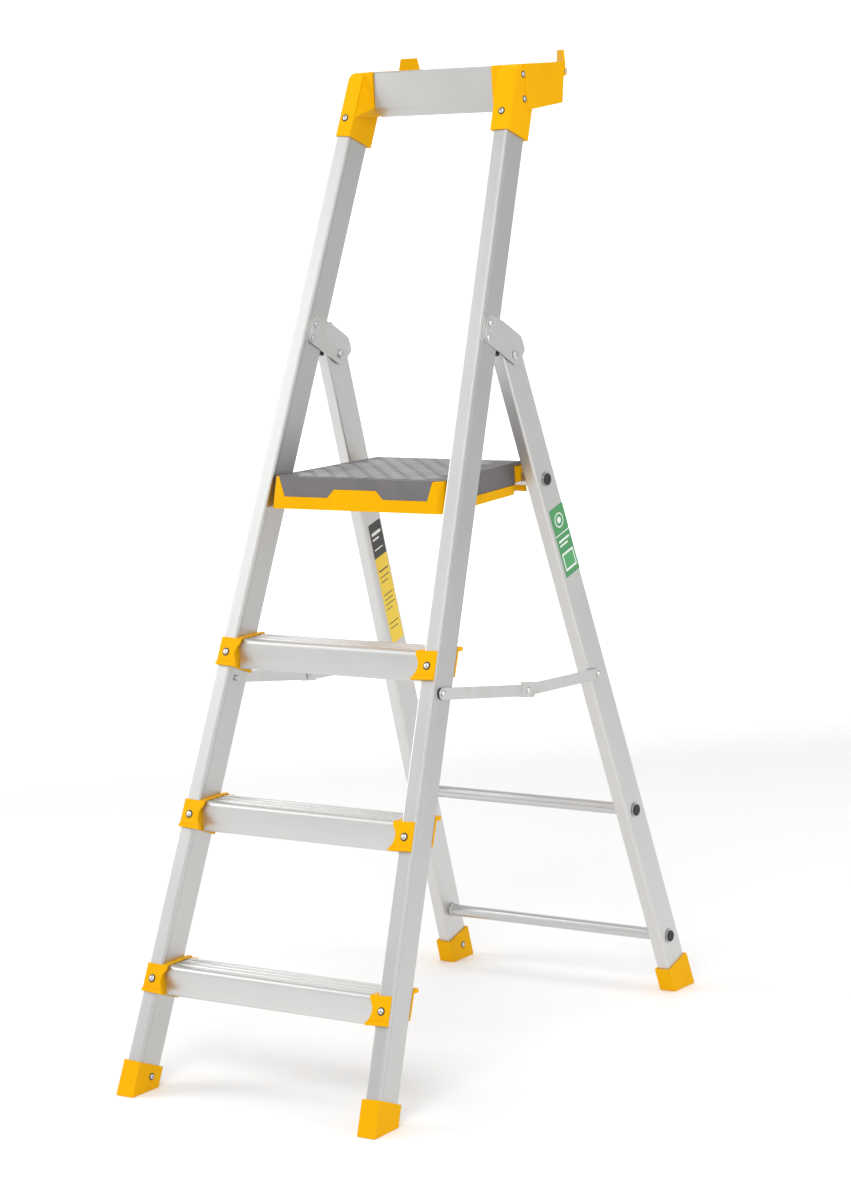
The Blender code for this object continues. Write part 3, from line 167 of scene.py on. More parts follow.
class Graph:
    """A material's node tree, filled node by node."""

    def __init__(self, name: str) -> None:
        """Start an empty material.

        Args:
            name: the material's name.
        """
        self.material = bpy.data.materials.new(name)
        self.material.use_nodes = True
        self.tree = self.material.node_tree
        self.shader = self.tree.nodes["Principled BSDF"]

    def node(self, kind: str, settings: Optional[Mapping[str, object]] = None,
             sockets: Optional[Mapping[Union[str, int], SocketValue]] = None,
             output: Union[str, int] = 0) -> Signal:
        """Add a node.

        Args:
            kind: the node's type name.
            settings: properties to set on the node.
            sockets: values or links for its inputs, by name or number.
            output: which output to return.

        Returns:
            The chosen output's signal.
        """
        made = self.tree.nodes.new(kind)
        for key, value in (settings or {}).items():
            setattr(made, key, value)
        for key, value in (sockets or {}).items():
            self.feed(made.inputs[key], value)
        return Signal(self, made.outputs[output])

    def feed(self, socket: bpy.types.NodeSocket, value: SocketValue) -> None:
        """Link a signal to a socket, or set a constant on it.

        Args:
            socket: the input to fill.
            value: a signal, a number or a row of numbers.
        """
        if isinstance(value, Signal):
            self.tree.links.new(value.socket, socket)
        elif isinstance(value, (int, float)):
            socket.default_value = float(value)
        else:
            size = len(socket.default_value)
            socket.default_value = (*value, 1.0)[:size]

    def position(self) -> Signal:
        """Place on the object, in the shared frame."""
        return self.node("ShaderNodeTexCoord", output="Object")

    def chart(self) -> tuple[Signal, Signal]:
        """The two flat coordinates of a decal.

        Returns:
            The shares of its width and of its height.
        """
        both = self.node("ShaderNodeTexCoord", output="UV")
        across = self.node("ShaderNodeSeparateXYZ", sockets={0: both}, output="X")
        along = self.node("ShaderNodeSeparateXYZ", sockets={0: both}, output="Y")
        return across, along

    def along(self, place: Signal, direction: Vector) -> Signal:
        """Distance of a place along a unit vector."""
        return self.node("ShaderNodeVectorMath", {"operation": "DOT_PRODUCT"},
                         {0: place, 1: tuple(direction)}, output="Value")

    def noise(self, place: Signal, scale: float, detail: float = 3.0,
              roughness: float = 0.5) -> Signal:
        """Smooth random values between zero and one.

        Args:
            place: coordinates.
            scale: cells per metre.
            detail: number of finer layers.
            roughness: strength of each finer layer.

        Returns:
            The values' signal.
        """
        return self.node("ShaderNodeTexNoise", None,
                         {"Vector": place, "Scale": scale, "Detail": detail,
                          "Roughness": roughness})

    def stretched(self, place: Signal, grain: "Grain", fine: float, coarse: float) -> Signal:
        """Coordinates that are fine across a grain, and coarse along it.

        Args:
            place: coordinates.
            grain: the grain's directions.
            fine: scale across it.
            coarse: scale along it.

        Returns:
            The stretched coordinates.
        """
        parts = {"X": self.along(place, grain.across) * fine,
                 "Y": self.along(place, grain.deep) * fine,
                 "Z": self.along(place, grain.along) * coarse}
        return self.node("ShaderNodeCombineXYZ", None, parts)

    def blend(self, factor: Value, first: SocketValue, second: SocketValue) -> Signal:
        """Mix of two colours, where the factor is the second one's share."""
        colours = {MIX_FACTOR: factor, MIX_FIRST: first, MIX_SECOND: second}
        return self.node("ShaderNodeMix", {"data_type": "RGBA"}, colours, MIX_RESULT)

    def bump(self, height: Signal, depth: float, strength: float = 1.0) -> Signal:
        """Normals that follow a height, with the depth in metres per unit of height."""
        return self.node("ShaderNodeBump", None,
                         {"Height": height, "Distance": depth, "Strength": strength})

    def surface(self, **inputs: SocketValue) -> bpy.types.Material:
        """Set the surface shader's inputs.

        Args:
            inputs: values by socket name, with underscores for spaces.

        Returns:
            The finished material.
        """
        for key, value in inputs.items():
            self.feed(self.shader.inputs[key.replace("_", " ")], value)
        return self.material


@dataclass(frozen=True)
class Grain:
    """Directions of an extrusion: along it, across its broad face, and through it."""

    along: Vector
    across: Vector
    deep: Vector

    @staticmethod
    def of(along: Vector) -> "Grain":
        """Grain with the given length direction.

        Args:
            along: the length direction.

        Returns:
            The grain.
        """
        length = along.normalized()
        across = length.orthogonal().normalized()
        return Grain(length, across, length.cross(across))


# ---- finishes -----------------------------------------------------------------------------
@dataclass(frozen=True)
class DrawnAluminium:
    """Anodised extrusion with fine die lines along its length.

    Attributes:
        name: the material's name.
        grain: the extrusion's directions.
        colour: base colour.
        roughness: mean roughness.
        lines: strength of the die lines.
        painted_shade_line: place of a narrow line of painted shade along a groove, through the
            extrusion's depth, or None.
        painted_shade_line_half: half of the painted line's width.
        painted_shade_line_strength: how much darker the painted shade makes the line.
    """

    name: str
    grain: Grain
    colour: Colour = (0.63, 0.632, 0.624)
    roughness: float = 0.40
    lines: float = 0.35
    painted_shade_line: Optional[float] = None
    painted_shade_line_half: float = 0.0005
    painted_shade_line_strength: float = 0.25

    def build(self) -> bpy.types.Material:
        """Make the material.

        Returns:
            The finished material.
        """
        g = Graph(self.name)
        spot = g.position()
        fine_lines = g.stretched(spot, self.grain, fine=900.0, coarse=2.0)
        broad_lines = g.stretched(spot, self.grain, fine=90.0, coarse=1.2)
        rubs = g.stretched(spot, self.grain, fine=260.0, coarse=40.0)
        die = g.noise(fine_lines, scale=1.0, detail=2.0)
        broad = g.noise(broad_lines, scale=1.0, detail=3.0)
        cloud = g.noise(spot, scale=9.0, detail=4.0, roughness=0.6)
        scuff = g.noise(rubs, scale=1.0, detail=2.0).ramp(low=0.70, high=0.80)
        tone = 0.87 + die * 0.06 + broad * 0.05 + cloud * 0.04
        # A narrow dark line of painted shade along the groove.
        if self.painted_shade_line is not None:
            deep = g.along(spot, self.grain.deep) - self.painted_shade_line
            inside = (deep * deep).below(self.painted_shade_line_half ** 2)
            tone = tone * (1.0 - self.painted_shade_line_strength * inside)
        colour = g.blend(tone, (0.0, 0.0, 0.0), self.colour)
        rough = self.roughness - 0.10 + die * 0.10 + cloud * 0.12 + scuff * 0.06
        height = die * 0.7 + broad * 0.3 - scuff * 0.2
        return g.surface(Base_Color=colour, Metallic=1.0, Roughness=rough,
                         Normal=g.bump(height, depth=0.00012, strength=self.lines))


@dataclass(frozen=True)
class MouldedPlastic:
    """Injection-moulded plastic with a spark-eroded texture and rubbed patches.

    Attributes:
        name: the material's name.
        colour: base colour.
        shade: colour of the slightly darker patches.
        roughness: mean roughness.
        texture: depth of the moulded texture.
        specular: strength of its shine.
    """

    name: str
    colour: Colour
    shade: Colour
    roughness: float = 0.42
    texture: float = 0.00005
    specular: float = 0.35

    def build(self) -> bpy.types.Material:
        """Make the material.

        Returns:
            The finished material.
        """
        g = Graph(self.name)
        spot = g.position()
        spark = g.noise(spot, scale=1400.0, detail=2.0, roughness=0.6)
        flow = g.noise(spot, scale=14.0, detail=4.0, roughness=0.55)
        rub = g.noise(spot, scale=55.0, detail=5.0, roughness=0.65).ramp(low=0.56, high=0.72)
        colour = g.blend(flow.ramp(low=0.35, high=0.70), self.colour, self.shade)
        rough = self.roughness + spark * 0.10 + flow * 0.06 - rub * 0.07 - 0.06
        return g.surface(Base_Color=colour, Roughness=rough, Specular_IOR_Level=self.specular,
                         Normal=g.bump(spark * 0.8 + flow * 0.2, self.texture, strength=0.5))


@dataclass(frozen=True)
class PlatedSteel:
    """Zinc-plated steel with a faint spangle and rolling marks.

    Attributes:
        name: the material's name.
        colour: base colour.
        roughness: mean roughness.
        spangle: size of the crystals' pattern, as cells per metre.
        warmth: tint of the warmer patches.
    """

    name: str
    colour: Colour
    roughness: float
    spangle: float = 420.0
    warmth: Colour = (0.97, 0.93, 0.86)

    def build(self) -> bpy.types.Material:
        """Make the material.

        Returns:
            The finished material.
        """
        g = Graph(self.name)
        spot = g.position()
        cells = g.node("ShaderNodeTexVoronoi", {"feature": "F1"},
                       {"Vector": spot, "Scale": self.spangle}, output="Distance")
        smear = g.noise(spot, scale=130.0, detail=4.0, roughness=0.6)
        tint = g.noise(spot, scale=30.0, detail=2.0).ramp(low=0.45, high=0.75)
        warm = tuple(c * w for c, w in zip(self.colour, self.warmth))
        colour = g.blend(tint, self.colour, warm) * (0.90 + smear * 0.16)
        rough = self.roughness - 0.06 + cells * 0.10 + smear * 0.12
        return g.surface(Base_Color=colour, Metallic=1.0, Roughness=rough,
                         Normal=g.bump(cells * 0.4 + smear * 0.6, depth=0.00008, strength=0.4))


@dataclass(frozen=True)
class Panel:
    """A block of colour on a label, in shares of its width and height."""

    left: float
    right: float
    bottom: float
    top: float
    colour: Colour


@dataclass(frozen=True)
class Disc:
    """A round spot on a label; its radius is a share of the label's width."""

    across: float
    along: float
    radius: float
    colour: Colour


@dataclass(frozen=True)
class PrintedLabel:
    """Printed film with plain blocks of colour and no lettering.

    Attributes:
        name: the material's name.
        ground: colour of the film.
        aspect: height over width.
        panels: blocks, later ones over earlier ones.
        discs: round spots over the blocks.
        dust: colour of the thin dust on it.
    """

    name: str
    ground: Colour
    aspect: float
    panels: tuple[Panel, ...] = ()
    discs: tuple[Disc, ...] = ()
    dust: Colour = (0.7, 0.7, 0.7)

    def build(self) -> bpy.types.Material:
        """Make the material.

        Returns:
            The finished material.
        """
        g = Graph(self.name)
        across, along = g.chart()
        spot = g.position()
        colour: SocketValue = self.ground
        for p in self.panels:
            inside = across.between(p.left, p.right) * along.between(p.bottom, p.top)
            colour = g.blend(inside, colour, p.colour)
        for d in self.discs:
            dx = across - d.across
            dy = (along - d.along) * self.aspect
            inside = (dx * dx + dy * dy).below(d.radius ** 2)
            colour = g.blend(inside, colour, d.colour)
        specks = g.noise(spot, scale=300.0, detail=3.0)
        wear = g.noise(spot, scale=80.0, detail=4.0, roughness=0.6)
        return g.surface(Base_Color=g.blend(specks * 0.08, colour, self.dust),
                         Roughness=0.34 + wear * 0.15, Coat_Weight=0.05,
                         Normal=g.bump(wear, depth=0.00003, strength=0.3))


@dataclass(frozen=True)
class StudioPaper:
    """Seamless pale paper for the floor.

    Attributes:
        name: the material's name.
        colour: base colour.
        mottle: brightness of its darker fibres, as a share of the colour.
    """

    name: str
    colour: Colour
    mottle: float = 0.985

    def build(self) -> bpy.types.Material:
        """Make the material.

        Returns:
            The finished material.
        """
        g = Graph(self.name)
        fibre = g.noise(g.position(), scale=60.0, detail=3.0)
        colour = g.blend(fibre, self.colour, tuple(c * self.mottle for c in self.colour))
        return g.surface(Base_Color=colour, Roughness=0.75 + fibre * 0.1)


Finish = Union[DrawnAluminium, MouldedPlastic, PlatedSteel, PrintedLabel, StudioPaper]


class Library:
    """Finishes by name, each built once."""

    def __init__(self) -> None:
        """Start without any finish."""
        self.made: dict[str, bpy.types.Material] = {}

    def get(self, finish: Finish) -> bpy.types.Material:
        """The material of a finish.

        Args:
            finish: the finish to look up or build.

        Returns:
            Its material.
        """
        if finish.name not in self.made:
            self.made[finish.name] = finish.build()
        return self.made[finish.name]


LIBRARY = Library()
YELLOW = MouldedPlastic("look_yellow", colour=(0.82, 0.412, 0.0005),
                        shade=(0.79, 0.39, 0.0005), specular=0.05)
PAD_GREY = MouldedPlastic("look_pad", colour=(0.155, 0.146, 0.151),
                          shade=(0.135, 0.128, 0.132), roughness=0.58, texture=0.0001)
# A lighter grey than the pad: a painted highlight on the raised lenses.
GRIP_GREY_PAINTED_HIGHLIGHT = MouldedPlastic("look_grip_painted_highlight", colour=(0.32, 0.31, 0.315),
                           shade=(0.27, 0.26, 0.265), roughness=0.50, texture=0.0001)
BLACK = MouldedPlastic("look_black", colour=(0.020, 0.020, 0.021),
                       shade=(0.028, 0.028, 0.028), roughness=0.45)
ZINC = PlatedSteel("look_zinc", colour=(0.66, 0.67, 0.68), roughness=0.30)
PLATE = PlatedSteel("look_plate", colour=(0.68, 0.685, 0.69), roughness=0.42, spangle=260.0)
PAPER = StudioPaper("look_floor", colour=(0.90, 0.90, 0.90))


# ---- geometry of the frame ----------------------------------------------------------------
@dataclass(frozen=True)
class Rail:
    """A right-hand rail: u goes outwards, v backwards and s up along it.

    Attributes:
        foot: the rail's inner front edge at floor level.
        tangent: how far the rail leans back per metre of height.
        taper: how far it closes in per metre of height.
        width: thickness along u.
    """

    foot: Vector
    tangent: float
    taper: float
    width: float

    @property
    def s(self) -> Vector:
        """Direction up along the rail."""
        return Vector((-self.taper, self.tangent, 1.0)).normalized()

    @property
    def v(self) -> Vector:
        """Direction from its front to its rear."""
        lean = math.atan(self.tangent)
        return Vector((0.0, math.cos(lean), -math.sin(lean)))

    @property
    def u(self) -> Vector:
        """Direction from its inner to its outer side."""
        return self.v.cross(self.s).normalized()

    def at(self, u: float, v: float, s: float) -> Vector:
        """Point at distances u, v and s along the rail's directions."""
        return self.foot + self.u * u + self.v * v + self.s * s

    def facing(self, u: float, y: float, z: float) -> Vector:
        """Point of a plane parallel to the rail's side faces.

        Args:
            u: distance of the plane from the inner face.
            y: the point's depth.
            z: the point's height.

        Returns:
            The point.
        """
        flat = Vector((self.foot.x, y, z))
        away = (flat - self.foot).dot(self.u) - u
        return flat - Vector((away / self.u.x, 0.0, 0.0))


FRONT_Y = -0.4438
STILE_LEAN = math.radians(22.48)
STILE = Rail(foot=Vector((0.2141, FRONT_Y, 0.0)), tangent=math.tan(STILE_LEAN), taper=0.0552,
             width=0.0252)
PIVOT_HEIGHT = 1.0667
PIVOT_BEHIND = 0.1014       # from the stile's front line to the hinge line
PIVOT = Vector((0.0, FRONT_Y + STILE.tangent * PIVOT_HEIGHT + PIVOT_BEHIND, PIVOT_HEIGHT))
LEG_LEAN = math.radians(16.66)
LEG_TANGENT = math.tan(LEG_LEAN)
LEG_TAPER = 0.0504
LEG_WIDTH = 0.0220
LEG_HALF_DEPTH = 0.02495
LEG_TOP_X = 0.1772          # outer face of the right leg, level with the hinge line
LEG = Rail(foot=Vector((LEG_TOP_X - LEG_WIDTH + LEG_TAPER * PIVOT.z,
                        PIVOT.y + LEG_TANGENT * PIVOT.z - LEG_HALF_DEPTH / math.cos(LEG_LEAN),
                        0.0)), tangent=-LEG_TANGENT, taper=LEG_TAPER, width=LEG_WIDTH)
STEP_TOPS = (0.1855, 0.4205, 0.6555)
TUBES = {"upper": 0.8686, "middle": 0.3145, "lower": 0.0920}


def mirror(vector: Vector, sign: float) -> Vector:
    """The vector itself for sign +1, or its mirror image across X = 0 for sign -1."""
    return Vector((vector.x * sign, vector.y, vector.z))


# ---- mesh making --------------------------------------------------------------------------
LENS_SIDES = 16
LENS_ROOT = -0.0003                                     # how far a lens starts below the pad
LENS_OUTLINE = ((1.0, 0.2), (0.86, 0.75), (0.62, 1.0))  # shares of its size and of its rise
BEVEL_SEGMENTS = 3
WELD_DISTANCE = 0.00001
FLAT_ANGLE = math.radians(1.0)


def to_mesh(name: str, bm: bmesh.types.BMesh) -> bpy.types.Mesh:
    """Turn a bmesh into a mesh with outward faces.

    Args:
        name: the mesh's name.
        bm: the shape, which is freed.

    Returns:
        The mesh.
    """
    bmesh.ops.recalc_face_normals(bm, faces=bm.faces)
    mesh = bpy.data.meshes.new(name)
    bm.to_mesh(mesh)
    bm.free()
    return mesh


def skin(bm: bmesh.types.BMesh, rings: Sequence[Sequence[bmesh.types.BMVert]]) -> None:
    """Join rings of points into a solid with a cap at each end.

    Args:
        bm: the shape that the points belong to.
        rings: rows of equally many points, from one end to the other.
    """
    for lower, upper in zip(rings, rings[1:]):
        count = len(lower)
        for i in range(count):
            j = (i + 1) % count
            bm.faces.new((lower[i], lower[j], upper[j], upper[i]))
    bm.faces.new(rings[0])
    bm.faces.new(rings[-1])


def turned(name: str, base: Vector, axis: Vector, profile: Outline,
           segments: int = 32) -> bpy.types.Mesh:
    """Turned solid along an axis.

    Args:
        name: the mesh's name.
        base: the point at height zero.
        axis: direction of rising height.
        profile: (radius, height) pairs.
        segments: number of sides.

    Returns:
        The mesh.
    """
    axis = axis.normalized()
    across = axis.orthogonal().normalized()
    other = axis.cross(across)
    bm = bmesh.new()
    rings = []
    for radius, height in profile:
        ring = []
        for k in range(segments):
            angle = math.tau * k / segments
            spoke = across * math.cos(angle) + other * math.sin(angle)
            ring.append(bm.verts.new(base + axis * height + spoke * radius))
        rings.append(ring)
    skin(bm, rings)
    return to_mesh(name, bm)


def lenses(name: str, centres: Iterable[Vector], half_length: float, half_depth: float,
           rise: float) -> bpy.types.Mesh:
    """Low raised lenses, long across X.

    Args:
        name: the mesh's name.
        centres: middle of each lens on the surface below it.
        half_length: half of a lens along X.
        half_depth: half of a lens along Y.
        rise: its height.

    Returns:
        The mesh of all of them.
    """
    bm = bmesh.new()
    steps = [(1.0, LENS_ROOT)] + [(scale, rise * share) for scale, share in LENS_OUTLINE]
    for centre in centres:
        rings = []
        for scale, height in steps:
            ring = []
            for k in range(LENS_SIDES):
                angle = math.tau * k / LENS_SIDES
                x = half_length * scale * math.cos(angle)
                y = half_depth * scale * math.sin(angle)
                ring.append(bm.verts.new(centre + Vector((x, y, height))))
            rings.append(ring)
        skin(bm, rings)
    return to_mesh(name, bm)


def carve(mesh: bpy.types.Mesh, cutter: bpy.types.Mesh) -> bpy.types.Mesh:
    """A mesh less a cutter.

    Args:
        mesh: the mesh to cut.
        cutter: the shape to take away.

    Returns:
        The cut mesh.
    """
    target = bpy.data.objects.new("work", mesh)
    tool = bpy.data.objects.new("tool", cutter)
    for thing in (target, tool):
        bpy.context.scene.collection.objects.link(thing)
    modifier = target.modifiers.new("carve", "BOOLEAN")
    modifier.operation = "DIFFERENCE"
    modifier.solver = "EXACT"
    modifier.object = tool
    graph = bpy.context.evaluated_depsgraph_get()
    graph.update()
    result = bpy.data.meshes.new_from_object(target.evaluated_get(graph))
    for thing in (target, tool):
        bpy.data.objects.remove(thing)
    return result


def add_piece(name: str, mesh: bpy.types.Mesh, material: bpy.types.Material, body: str,
              bevel: float = 0.0, angle: float = 32.0) -> bpy.types.Object:
    """Add a piece that rides on a body.

    Args:
        name: the piece's name.
        mesh: its mesh, in the shared frame.
        material: its finish.
        body: the body that it moves with.
        bevel: width of its rounded edges, or zero.
        angle: smallest angle of an edge that stays sharp or is rounded, in degrees.

    Returns:
        The new object.
    """
    mesh.materials.clear()
    mesh.materials.append(material)
    mesh.shade_smooth()
    mesh.set_sharp_from_angle(angle=math.radians(angle))
    piece = bpy.data.objects.new(name, mesh)
    bpy.context.scene.collection.objects.link(piece)
    if bevel > 0.0:
        rounding = piece.modifiers.new("edges", "BEVEL")
        rounding.width = bevel
        rounding.segments = BEVEL_SEGMENTS
        rounding.limit_method = "ANGLE"
        rounding.angle_limit = math.radians(angle)
        rounding.harden_normals = True
    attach(piece, body)
    return piece


class Wardrobe:
    """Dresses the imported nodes."""

    def __init__(self, frame: Mapping[str, object]) -> None:
        """Note each node's slot and body.
        """
        self.nodes: dict[str, bpy.types.Object] = frame["nodes"]
        self.slots = {s["node"]: s["material_slot"] for s in frame["record"]["subparts"]}
        bodies = frame["record"]["behaviour"]["bodies"]
        self.bodies = {node: body for body, held in bodies.items() for node in held}

    def paint(self, node: str, material: bpy.types.Material) -> None:
        """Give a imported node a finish.

        Args:
            node: the node's name.
            material: its finish.
        """
        self.nodes[node].data.materials.clear()
        self.nodes[node].data.materials.append(material)
        LOG.info("painted %s", node)

    def refine(self, node: str, material: bpy.types.Material, bevel: float) -> None:
        """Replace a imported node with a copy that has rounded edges.

        Args:
            node: the node's name.
            material: its finish.
            bevel: width of the rounded edges.
        """
        bm = bmesh.new()
        bm.from_mesh(self.nodes[node].data)
        bmesh.ops.remove_doubles(bm, verts=bm.verts, dist=WELD_DISTANCE)
        bmesh.ops.dissolve_limit(bm, angle_limit=FLAT_ANGLE, verts=bm.verts, edges=bm.edges)
        piece = add_piece(f"{node}.look", to_mesh(f"{node}.look", bm), material,
                          self.bodies[node], bevel)
        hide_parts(node)
        LOG.info("refined %s", node)


# ---- fasteners ----------------------------------------------------------------------------
HEAD_SIDES = 28
HEAD_OUTLINE = ((1.0, 0.0), (1.0, 0.30), (0.95, 0.55), (0.82, 0.78), (0.62, 0.92), (0.35, 1.0),
                (0.05, 1.0))                    # shares of a head's radius and height
# Outline of the dark ring of painted shade around a screw's head.
PAINTED_SHADE_RIM_OUTLINE = ((0.7, -0.0004), (1.0, -0.0002), (1.0, 0.0003), (0.94, 0.0006), (0.80, 0.0004),
               (0.10, 0.0004))                  # share of the rim's radius, and height
RECESS_ARM = 0.52                               # shares of a head's radius
RECESS_SLIM = 0.13
RECESS_ENDS = ((0.35, 0.7), (1.3, 1.1))         # shares of its height, and spread


class HeadStyle(Enum):
    """Shapes of a fastener's head."""

    DOME = "dome"
    CROSS = "cross"


@dataclass
class Fastener:
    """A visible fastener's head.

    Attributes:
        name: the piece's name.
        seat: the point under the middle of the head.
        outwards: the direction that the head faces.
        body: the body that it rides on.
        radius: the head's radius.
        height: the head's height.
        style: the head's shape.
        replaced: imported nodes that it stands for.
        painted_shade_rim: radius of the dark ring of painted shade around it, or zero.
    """

    name: str
    seat: Vector
    outwards: Vector
    body: str
    radius: float
    height: float
    style: HeadStyle = HeadStyle.CROSS
    replaced: tuple[str, ...] = ()
    painted_shade_rim: float = 0.0

    def profile(self) -> list[tuple[float, float]]:
        """The head's outline from its washer to its crown."""
        return [(self.radius * across, self.height * up) for across, up in HEAD_OUTLINE]

    def recess(self) -> bpy.types.Mesh:
        """Make a cutter for the driver's cross recess.

        Returns:
            The cutter's mesh.
        """
        axis = self.outwards.normalized()
        across = axis.orthogonal().normalized()
        other = axis.cross(across)
        bm = bmesh.new()
        arm = self.radius * RECESS_ARM
        slim = self.radius * RECESS_SLIM
        outline = [(slim, arm), (-slim, arm), (-slim, slim), (-arm, slim), (-arm, -slim),
                   (-slim, -slim), (-slim, -arm), (slim, -arm), (slim, -slim), (arm, -slim),
                   (arm, slim), (slim, slim)]
        skin(bm, [[bm.verts.new(self.seat + axis * self.height * up
                                + (across * p + other * q) * spread) for p, q in outline]
                  for up, spread in RECESS_ENDS])
        return to_mesh("recess", bm)

    def build(self) -> None:
        """Make the head and its dark ring of painted shade."""
        mesh = turned(self.name, self.seat, self.outwards, self.profile(), HEAD_SIDES)
        if self.style is HeadStyle.CROSS:
            mesh = carve(mesh, self.recess())
        piece = add_piece(self.name, mesh, LIBRARY.get(ZINC), self.body, angle=40.0)
        # A black ring of painted shade around the head.
        if self.painted_shade_rim > 0.0:
            ring = turned(f"{self.name}_rim", self.seat, self.outwards,
                          [(self.painted_shade_rim * share, height) for share, height in PAINTED_SHADE_RIM_OUTLINE],
                          HEAD_SIDES)
            add_piece(f"{self.name}_rim", ring, LIBRARY.get(BLACK), self.body)
        if self.replaced:
            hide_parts(*self.replaced)
        LOG.info("made %s", self.name)


def shoe_screw(name: str, node: str, body: str, rail: Rail, spot: tuple[float, float],
               sign: float) -> None:
    """Add the screw in the inner side of a shoe.

    Args:
        name: the screw's name.
        node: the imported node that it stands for.
        body: the body that it rides on.
        rail: the right-hand rail that the shoe is on.
        spot: the screw's v and s on the rail.
        sign: +1 for the right side, -1 for the left.
    """
    stand = 0.0034              # the shoe's wall outside the rail
    # The dark ring around the screw's head is painted shade.
    Fastener(name, mirror(rail.at(-stand, *spot), sign), mirror(-rail.u, sign), body,
             radius=0.0040, height=0.0024, replaced=(node,), painted_shade_rim=0.0056).build()


# ---- sub-assemblies -----------------------------------------------------------------------
@dataclass
class Assembly:
    """A group of nodes with its trim.

    Attributes:
        wardrobe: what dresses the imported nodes.
    """

    wardrobe: Wardrobe

    def dress(self) -> None:
        """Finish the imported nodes."""

    def build(self) -> None:
        """Add the trim. A group without trim adds nothing."""


@dataclass
class FrontFrame(Assembly):
    """Stiles, treads, their sockets and bolts, and the front shoes.

    Attributes:
        tops: heights of the treads' tops.
        groove: place of the groove behind each stile's front face, where a dark line of painted
            shade is drawn.
        bolt_down: how far a bolt is below its tread's top, along the stile.
        bolt_across: its distance from the stile's inner side.
        bolt_stand: how far its seat stands in front of the stile.
        shade_ring_sunk: how far the dark ring of painted shade under a bolt's head starts below
            its seat.
        shade_ring_outline: that ring's outline.
        screw_spot: v and s of the shoes' screws.
    """

    tops: tuple[float, ...] = STEP_TOPS
    groove: float = 0.0070
    bolt_down: float = 0.0215
    bolt_across: float = 0.0105
    bolt_stand: float = 0.0034
    shade_ring_sunk: float = 0.0003
    shade_ring_outline: Outline = ((0.0062, 0.0), (0.0062, 0.0006), (0.0052, 0.0007),
                             (0.0048, 0.0004), (0.0010, 0.0004))
    screw_spot: tuple[float, float] = (0.0305, 0.0352)

    def dress(self) -> None:
        """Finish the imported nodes."""
        for side, sign in SIDES:
            grain = Grain(mirror(STILE.s, sign), mirror(STILE.u, sign), STILE.v)
            # The groove's place gets a narrow dark line of painted shade on the stile.
            painted_shade_line = STILE.v.dot(STILE.at(0.0, self.groove, 0.0))
            metal = LIBRARY.get(DrawnAluminium(f"look_stile_{side}", grain, painted_shade_line=painted_shade_line))
            self.wardrobe.paint(f"{side}_stile", metal)
            for number in range(1, len(self.tops) + 1):
                self.wardrobe.refine(f"{side}_step_socket_{number}", LIBRARY.get(YELLOW),
                                     bevel=0.0006)
            self.wardrobe.refine(f"{side}_front_foot", LIBRARY.get(YELLOW), bevel=0.0020)
        tread = LIBRARY.get(DrawnAluminium("look_tread", Grain.of(ACROSS),
                                           colour=(0.72, 0.72, 0.71), roughness=0.42))
        for number in range(1, len(self.tops) + 1):
            self.wardrobe.refine(f"step_{number}", tread, bevel=0.0003)

    def build(self) -> None:
        """Add the bolts with dark rings of painted shade around their heads, and the shoes'
        screws.
        """
        for side, sign in SIDES:
            facing = mirror(-STILE.v, sign)
            for number, top in enumerate(self.tops, start=1):
                s = top / STILE.s.z - self.bolt_down
                seat = mirror(STILE.at(self.bolt_across, -self.bolt_stand, s), sign)
                # A black ring of painted shade around the bolt's head.
                sunk = seat - facing * self.shade_ring_sunk
                ring = turned("seat", sunk, facing, self.shade_ring_outline)
                add_piece(f"{side}_bolt_shade_ring_{number}", ring, LIBRARY.get(BLACK), "front_frame")
                Fastener(f"{side}_bolt_head_{number}", seat, facing, "front_frame",
                         radius=0.0046, height=0.0026, style=HeadStyle.DOME,
                         replaced=(f"{side}_step_bolt_{number}",)).build()
            shoe_screw(f"{side}_shoe_screw", f"{side}_front_foot_screw", "front_frame", STILE,
                       self.screw_spot, sign)


